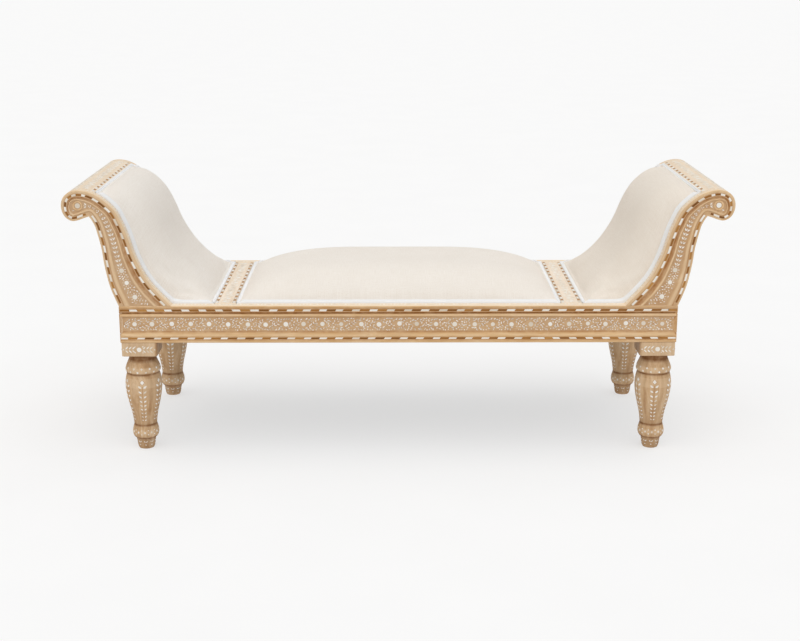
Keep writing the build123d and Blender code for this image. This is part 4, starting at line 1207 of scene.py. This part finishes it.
# ---------------------------------------------------------------- padding
def inflate(pts, faces, pinned, start, cap):
    """Cloth over the padding: the panel is held at its edge and blown up by the foam under it."""
    me = bpy.data.meshes.new("panel_sim")
    me.from_pydata((start * MM).tolist(), [], faces)
    ob = bpy.data.objects.new("panel_sim", me)
    bpy.context.scene.collection.objects.link(ob)
    vg = ob.vertex_groups.new(name="held")
    vg.add([int(i) for i in np.nonzero(pinned)[0]], 1.0, "REPLACE")
    mod = ob.modifiers.new("cloth", "CLOTH")
    cs = mod.settings
    cs.quality = 6
    cs.mass = 0.25
    cs.tension_stiffness = cs.compression_stiffness = 35
    cs.shear_stiffness = 12
    cs.bending_stiffness = 6
    cs.vertex_group_mass = "held"
    cs.use_pressure = True
    cs.uniform_pressure_force = 4.0
    cs.effector_weights.gravity = 0.0
    mod.collision_settings.use_collision = False
    mod.point_cache.frame_start, mod.point_cache.frame_end = 1, 20
    for k in range(1, 21):
        bpy.context.scene.frame_set(k)
    ev = ob.evaluated_get(bpy.context.evaluated_depsgraph_get())
    out = np.empty(len(ev.data.vertices) * 3)
    ev.data.vertices.foreach_get("co", out)
    out = out.reshape(-1, 3) / MM
    bpy.context.scene.frame_set(1)
    bpy.data.objects.remove(ob)
    move = out - pts
    far = np.linalg.norm(move, axis=1)
    return pts + move * np.minimum(1.0, cap / np.maximum(far, 1e-6))[:, None]


def ripple(perimeter, inward, seed):
    """Slight pull of the cloth towards its tacked edge."""
    r = np.random.default_rng(seed)
    out = np.zeros_like(perimeter)
    for w in (34.0, 47.0, 71.0):
        out += np.sin(2 * np.pi * perimeter / w + r.uniform(0, 6.28)) * r.uniform(0.5, 1.0)
    return out * 0.50 * np.exp(-inward / 30.0) * np.clip(inward / 5.0, 0, 1)


def pad(name, top, under, na, nb, weave, stands_for, seed, flip=False):
    """A padded panel: crowned top, closed below."""
    faces = grid_faces(na, nb, flip=flip)
    ia, ib = np.divmod(np.arange(na * nb), nb)
    pinned = (ia < 2) | (ia > na - 3) | (ib < 2) | (ib > nb - 3)
    pts = top
    start = under + (top - under) * 0.985
    start[pinned] = top[pinned]
    pts = inflate(top, faces, pinned, start, 3.0)
    rim = [i * nb for i in range(na)] + [(na - 1) * nb + j for j in range(1, nb)] + [i * nb + nb - 1 for i in range(na - 2, -1, -1)] \
        + [j for j in range(nb - 2, 0, -1)]
    n = na * nb
    verts = np.concatenate([pts, under])
    fs = list(faces) + [tuple(n + i for i in q[::-1]) for q in faces]
    for i, a in enumerate(rim):
        b = rim[(i + 1) % len(rim)]
        fs.append((a, b, n + b, n + a) if not flip else (b, a, n + a, n + b))
    # The right end panels take the linen with painted warm light.
    ob = make(name, verts, fs, M_LINEN_WARM_LIT if name.startswith("right") else M_LINEN, stands_for, dict(weave=np.concatenate([weave, weave + 0.5])), sharp=70)
    sub = ob.modifiers.new("subdivision", "SUBSURF")
    sub.levels = sub.render_levels = 1
    return ob


def spaced(a, b, n, edge_rows=(0.0, 2.5)):
    """Positions from a to b, closer at both ends."""
    t = np.linspace(0, 1, n)
    t = t - 0.10 * np.sin(2 * np.pi * t)
    return a + (b - a) * t


# centre seat
na, nb = 100, 60
xs, yy = spaced(-440.5, 440.5, na), spaced(-263.6, 263.6, nb)
X, Y = np.meshgrid(xs, yy, indexing="ij")
zt = SEAT_BULGE * rise(437.9 - np.abs(X), 330.0, 2.6) * rise(DOME_Y - np.abs(Y), 190.0)
inward = np.minimum(437.9 - np.abs(X), DOME_Y - np.abs(Y))
per = np.where(437.9 - np.abs(X) < DOME_Y - np.abs(Y), Y, X)
zt = np.maximum(zt + ripple(per, np.maximum(inward, 0), 3) + 1.2 * (inward > 0), 0.4) + RAIL_TOP
top = np.stack([X, Y, zt], 2).reshape(-1, 3)
under = np.stack([X, Y, np.full_like(X, DECK_TOP + 0.3)], 2).reshape(-1, 3)
pad("seat_panel", top, under, na, nb, np.stack([X, Y, zt * 0], 2).reshape(-1, 3) * MM, ["seat_foam", "seat_cover"], 3, flip=False)

# ends: along the seat and up the arm
dense = smooth(PAD_LINE, 2.0)
dense[:, 1] = np.maximum(dense[:, 1], RAIL_TOP)
ds = lengths(dense)
EDGE = Line(dense, 3)
L = EDGE.length
na, nb = 74, 60
ss = spaced(GIMP_W - 2.6, L - GIMP_W + 2.6, na)
S, Y = np.meshgrid(ss, yy, indexing="ij")
P, N = EDGE.at(S.ravel()), EDGE.normal(S.ravel())
CROWN = Line(smooth(PAD_CROWN, 3.0))
frac = (S - ss[0]) / (ss[-1] - ss[0])
C = CROWN.at(frac.ravel() * CROWN.length)
inward = np.minimum(np.minimum(S - GIMP_W, L - GIMP_W - S), DOME_Y - np.abs(Y))
per = np.where(np.minimum(S - GIMP_W, L - GIMP_W - S) < DOME_Y - np.abs(Y), Y, S)
lift = rise(DOME_Y - np.abs(Y), 165.0).ravel()[:, None]
extra = np.maximum(ripple(per, np.maximum(inward, 0), 5) + 1.2 * (inward > 0), 0.4).ravel()
depth = 12.0 + 9.0 * np.clip((P[:, 0] - 640) / 60, 0, 1)
line = P * (1 - lift) + C * lift + N * extra[:, None]
top = np.stack([line[:, 0], Y.ravel(), line[:, 1]], 1)
under = np.stack([P[:, 0] - N[:, 0] * depth, Y.ravel(), np.maximum(P[:, 1] - N[:, 1] * depth, DECK_TOP + 0.3)], 1)
weave = np.stack([S.ravel(), Y.ravel(), S.ravel() * 0], 1) * MM
for side, sx in (("right", 1), ("left", -1)):
    sc = np.array([sx, 1, 1.0])
    pad(side + "_end_panel", top * sc, under * sc, na, nb, weave + (0.2 if sx > 0 else 1.7), [side + "_end_foam", side + "_end_cover"], 5,
        flip=sx < 0)

# ---------------------------------------------------------------- gimp
SECTION = [(0.0, 0.0), (0.5, 1.7), (1.5, 2.9), (2.6, 3.1), (3.6, 2.6), (4.3, 1.9), (5.0, 2.6), (6.0, 3.1), (7.1, 2.9), (8.1, 1.7), (8.6, 0.0), (8.6, -1.0)]
LEAN_UP, LEAN_IN = 7.4, 1.9
LAP = 2.0                # how far the cross runs lap over the divider or the roll


def braid(runs):
    """Flat braid with two plaited lobes. A run is (surface, u0, u1, leans), from its outer edge inward, mitred at both ends."""
    v, f, w, base = [], [], [], 0
    for surf, u0, u1, leans in runs:
        n = int((u1 - u0) / 1.15)
        t = np.linspace(0, 1, n)
        cols = []
        for j, (c, hgt) in enumerate(SECTION):
            u = (u0 + c) + (u1 - u0 - 2 * c) * t
            ramp = np.clip((np.minimum(u - u0, u1 - u) - GIMP_W) / 9.0, 0, 1) if leans else np.zeros(n)
            lobe = -1 if j < 5 else 1
            bumpy = 0.5 + 0.5 * np.sin(2 * np.pi * u / 5.2 + (0 if lobe < 0 else math.pi) + lobe * (c - 4.3) * 0.75)
            hh = hgt * (0.80 + 0.30 * bumpy) if hgt > 0 else np.full(n, -0.2)
            cc = c * (1 + ramp * LEAN_IN / GIMP_W) + (0.35 * (bumpy - 0.5) if 0 < j < 10 else 0) - (0 if leans else LAP * (1 - c / GIMP_W))
            if j in (0, 11):
                hh = -0.2 - 6.0 * ramp * (j == 0)
            else:
                hh = hh + ramp * LEAN_UP * (c / GIMP_W) ** 0.85
            cols.append(surf(u, cc * np.ones(n), hh))
            w.append(np.stack([u, np.full(n, c), np.zeros(n)], 1) * MM)
        v.append(np.concatenate(cols))
        m = len(SECTION)
        for j in range(m - 1):
            for i in range(n - 1):
                f.append((base + j * n + i, base + j * n + i + 1, base + (j + 1) * n + i + 1, base + (j + 1) * n + i))
        base += n * m
    return np.concatenate(v), f, np.concatenate(w)


gx, gy = 446.5, DOME_Y + GIMP_W
runs = [(lambda u, c, hh: np.stack([u, -gy + c, RAIL_TOP + np.maximum(hh, -0.2)], -1), -gx, gx, True),
        (lambda u, c, hh: np.stack([-u, gy - c, RAIL_TOP + np.maximum(hh, -0.2)], -1), -gx, gx, True),
        (lambda u, c, hh: np.stack([gx - c, u, RAIL_TOP + hh], -1), -gy, gy, False),
        (lambda u, c, hh: np.stack([-gx + c, -u, RAIL_TOP + hh], -1), -gy, gy, False)]
v, f, w = braid(runs)
make("seat_gimp_braid", v, f, M_GIMP, ["seat_gimp"], dict(weave=w), sharp=60)


def on_end(s, y, hh):
    k = np.clip(s, 0.0, EL)
    p, nn, past = EDGE.at(k), EDGE.normal(k), s - k
    return np.stack([p[:, 0] + nn[:, 0] * hh + nn[:, 1] * past, y,
                     np.maximum(p[:, 1] + nn[:, 1] * hh - nn[:, 0] * past, RAIL_TOP - 0.2)], -1)


EL = EDGE.length
runs = [(lambda u, c, hh: on_end(u, -gy + c, hh), 0.0, EL, True), (lambda u, c, hh: on_end(EL - u, gy - c, hh), 0.0, EL, True),
        (lambda u, c, hh: on_end(EL - c, u, hh), -gy, gy, False), (lambda u, c, hh: on_end(c, -u, hh), -gy, gy, False)]
v, f, w = braid(runs)
make("right_end_gimp_braid", v, f, M_GIMP, ["right_end_gimp"], dict(weave=w), sharp=60)
v, f = mirrored(v, f, -1, 1)
make("left_end_gimp_braid", v, f, M_GIMP, ["left_end_gimp"], dict(weave=w + 0.3), sharp=60)

# ---------------------------------------------------------------- dust cover
nx, ny = 664.0, 199.0
gxs = np.concatenate([np.linspace(-756, -nx, 5), np.linspace(-nx, nx, 60)[1:-1], np.linspace(nx, 756, 5)])
gys = np.concatenate([np.linspace(-291, -ny, 5), np.linspace(-ny, ny, 22)[1:-1], np.linspace(ny, 291, 5)])
X, Y = np.meshgrid(gxs, gys, indexing="ij")
rim_d = np.minimum(756 - np.abs(X), 291 - np.abs(Y))
sag = 3.2 * np.clip(rim_d / 290.0, 0, 1) ** 0.8 + 0.5 * np.sin(X / 61.0) * np.sin(Y / 47.0) * np.clip(rim_d / 60, 0, 1)
Z = 317.8 - np.maximum(sag, 0)
cover = np.stack([X, Y, Z], 2).reshape(-1, 3)
faces = []
for i in range(len(gxs) - 1):
    for j in range(len(gys) - 1):
        mx, my = (gxs[i] + gxs[i + 1]) / 2, (gys[j] + gys[j + 1]) / 2
        if abs(mx) > nx and abs(my) > ny:
            continue
        q = (i * len(gys) + j, (i + 1) * len(gys) + j, (i + 1) * len(gys) + j + 1, i * len(gys) + j + 1)
        faces.append(q[::-1])
used = sorted({i for q in faces for i in q})
index = {a: b for b, a in enumerate(used)}
dust = make("dust_cover_cloth", cover[used], [tuple(index[i] for i in q) for q in faces], M_DUST, ["dust_cover"], sharp=60)
sol = dust.modifiers.new("thickness", "SOLIDIFY")
sol.thickness = 0.0006
sol.offset = -1

# ---------------------------------------------------------------- finish of the CAD nodes that stay
FINISH = [(("divider",), M_PALE_Y), (("outer_board",), M_WOOD_Y), (("screws", "bolts", "washers", "nuts"), M_STEEL),
          (("deck", "arm_board"), M_PLY), (("foam",), M_FOAM), (("dowels", "corner_blocks", "ledger", "bearers", "cleats"), M_INNER)]
for name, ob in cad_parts.items():
    if ob.hide_render:
        continue
    mat = next((m for words, m in FINISH if any(w in name for w in words)), M_INNER)
    ob.data.materials.clear()
    ob.data.materials.append(mat)

# ---------------------------------------------------------------- stage, light, camera
me = bpy.data.meshes.new("studio_floor")
me.from_pydata([(-60, -30, 0), (60, -30, 0), (60, 90, 0), (-60, 90, 0)], [], [(0, 1, 2, 3)])
floor = bpy.data.objects.new("studio_floor", me)
bpy.context.scene.collection.objects.link(floor)
fm = Mat("pale_floor")
fn = fm.noise(fm.coord(), 3.0, 3.0, 0.5)
fm.set(Base_Color=fm.ramp(fn, [(0.3, (0.335, 0.335, 0.335, 1)), (0.7, (0.345, 0.345, 0.345, 1))]))
fm.b.inputs["Roughness"].default_value = 1.0
fm.b.inputs["Specular IOR Level"].default_value = 0.0
fm.b.inputs["Emission Color"].default_value = (1, 1, 1, 1)
fm.b.inputs["Emission Strength"].default_value = 0.594
me.materials.append(fm.m)

world = bpy.data.worlds.new("studio")
bpy.context.scene.world = world
world.use_nodes = True
wt = world.node_tree
bg = wt.nodes["Background"]
bg.inputs[0].default_value = (1.0, 1.0, 1.0, 1)
ray = wt.nodes.new("ShaderNodeTexCoord")
split = wt.nodes.new("ShaderNodeSeparateXYZ")
dome = wt.nodes.new("ShaderNodeMapRange")
dome.inputs["To Min"].default_value, dome.inputs["To Max"].default_value = 0.10, 0.78
wt.links.new(ray.outputs["Generated"], split.inputs[0])
wt.links.new(split.outputs["Z"], dome.inputs["Value"])
seen = wt.nodes.new("ShaderNodeLightPath")
pick = wt.nodes.new("ShaderNodeMix")
pick.inputs["B"].default_value = 0.947
wt.links.new(seen.outputs["Is Camera Ray"], pick.inputs["Factor"])
wt.links.new(dome.outputs[0], pick.inputs["A"])
wt.links.new(pick.outputs["Result"], bg.inputs[1])


def sun(name, toward, strength, spread):
    d = bpy.data.lights.new(name, "SUN")
    d.energy, d.angle = strength, math.radians(spread)
    o = bpy.data.objects.new(name, d)
    o.rotation_euler = Vector(toward).to_track_quat("-Z", "Y").to_euler()
    o.location = (0, -2, 4)
    bpy.context.scene.collection.objects.link(o)
    return o


sun("soft_top", (0.02, 0.24, -1.0), 1.11, 75)
sun("soft_back", (-0.4, -1.0, -0.75), 0.26, 70)
sun("soft_front", (0.0, 1.0, -0.45), 0.45, 60)
sun("warm_left", (1.0, 0.5, -0.5), 0.26, 60).data.color = (1.0, 0.84, 0.62)
sun("cool_right", (-1.0, 0.5, -0.5), 0.16, 60).data.color = (0.86, 0.93, 1.0)

yaw, pitch, roll = math.radians(0.29), math.radians(14.58), math.radians(0.0)
fw0, rt0, up0 = Vector((math.sin(yaw), math.cos(yaw), 0)), Vector((math.cos(yaw), -math.sin(yaw), 0)), Vector((0, 0, 1))
fw = fw0 * math.cos(pitch) - up0 * math.sin(pitch)
upv = fw0 * math.sin(pitch) + up0 * math.cos(pitch)
rt = rt0 * math.cos(roll) + upv * math.sin(roll)
upv = -rt0 * math.sin(roll) + upv * math.cos(roll)
cd = bpy.data.cameras.new("camera")
cd.sensor_width, cd.lens = 36.0, 63.0
cd.clip_end = 60
cam = bpy.data.objects.new("camera", cd)
eye = Vector((-0.015, -4.015, 1.3474))
cam.matrix_world = Matrix(((rt.x, upv.x, -fw.x, eye.x), (rt.y, upv.y, -fw.y, eye.y), (rt.z, upv.z, -fw.z, eye.z), (0, 0, 0, 1)))
bpy.context.scene.collection.objects.link(cam)
bpy.context.scene.camera = cam
bpy.context.scene.view_settings.view_transform = "Standard"
bpy.context.scene.view_settings.look = "None"
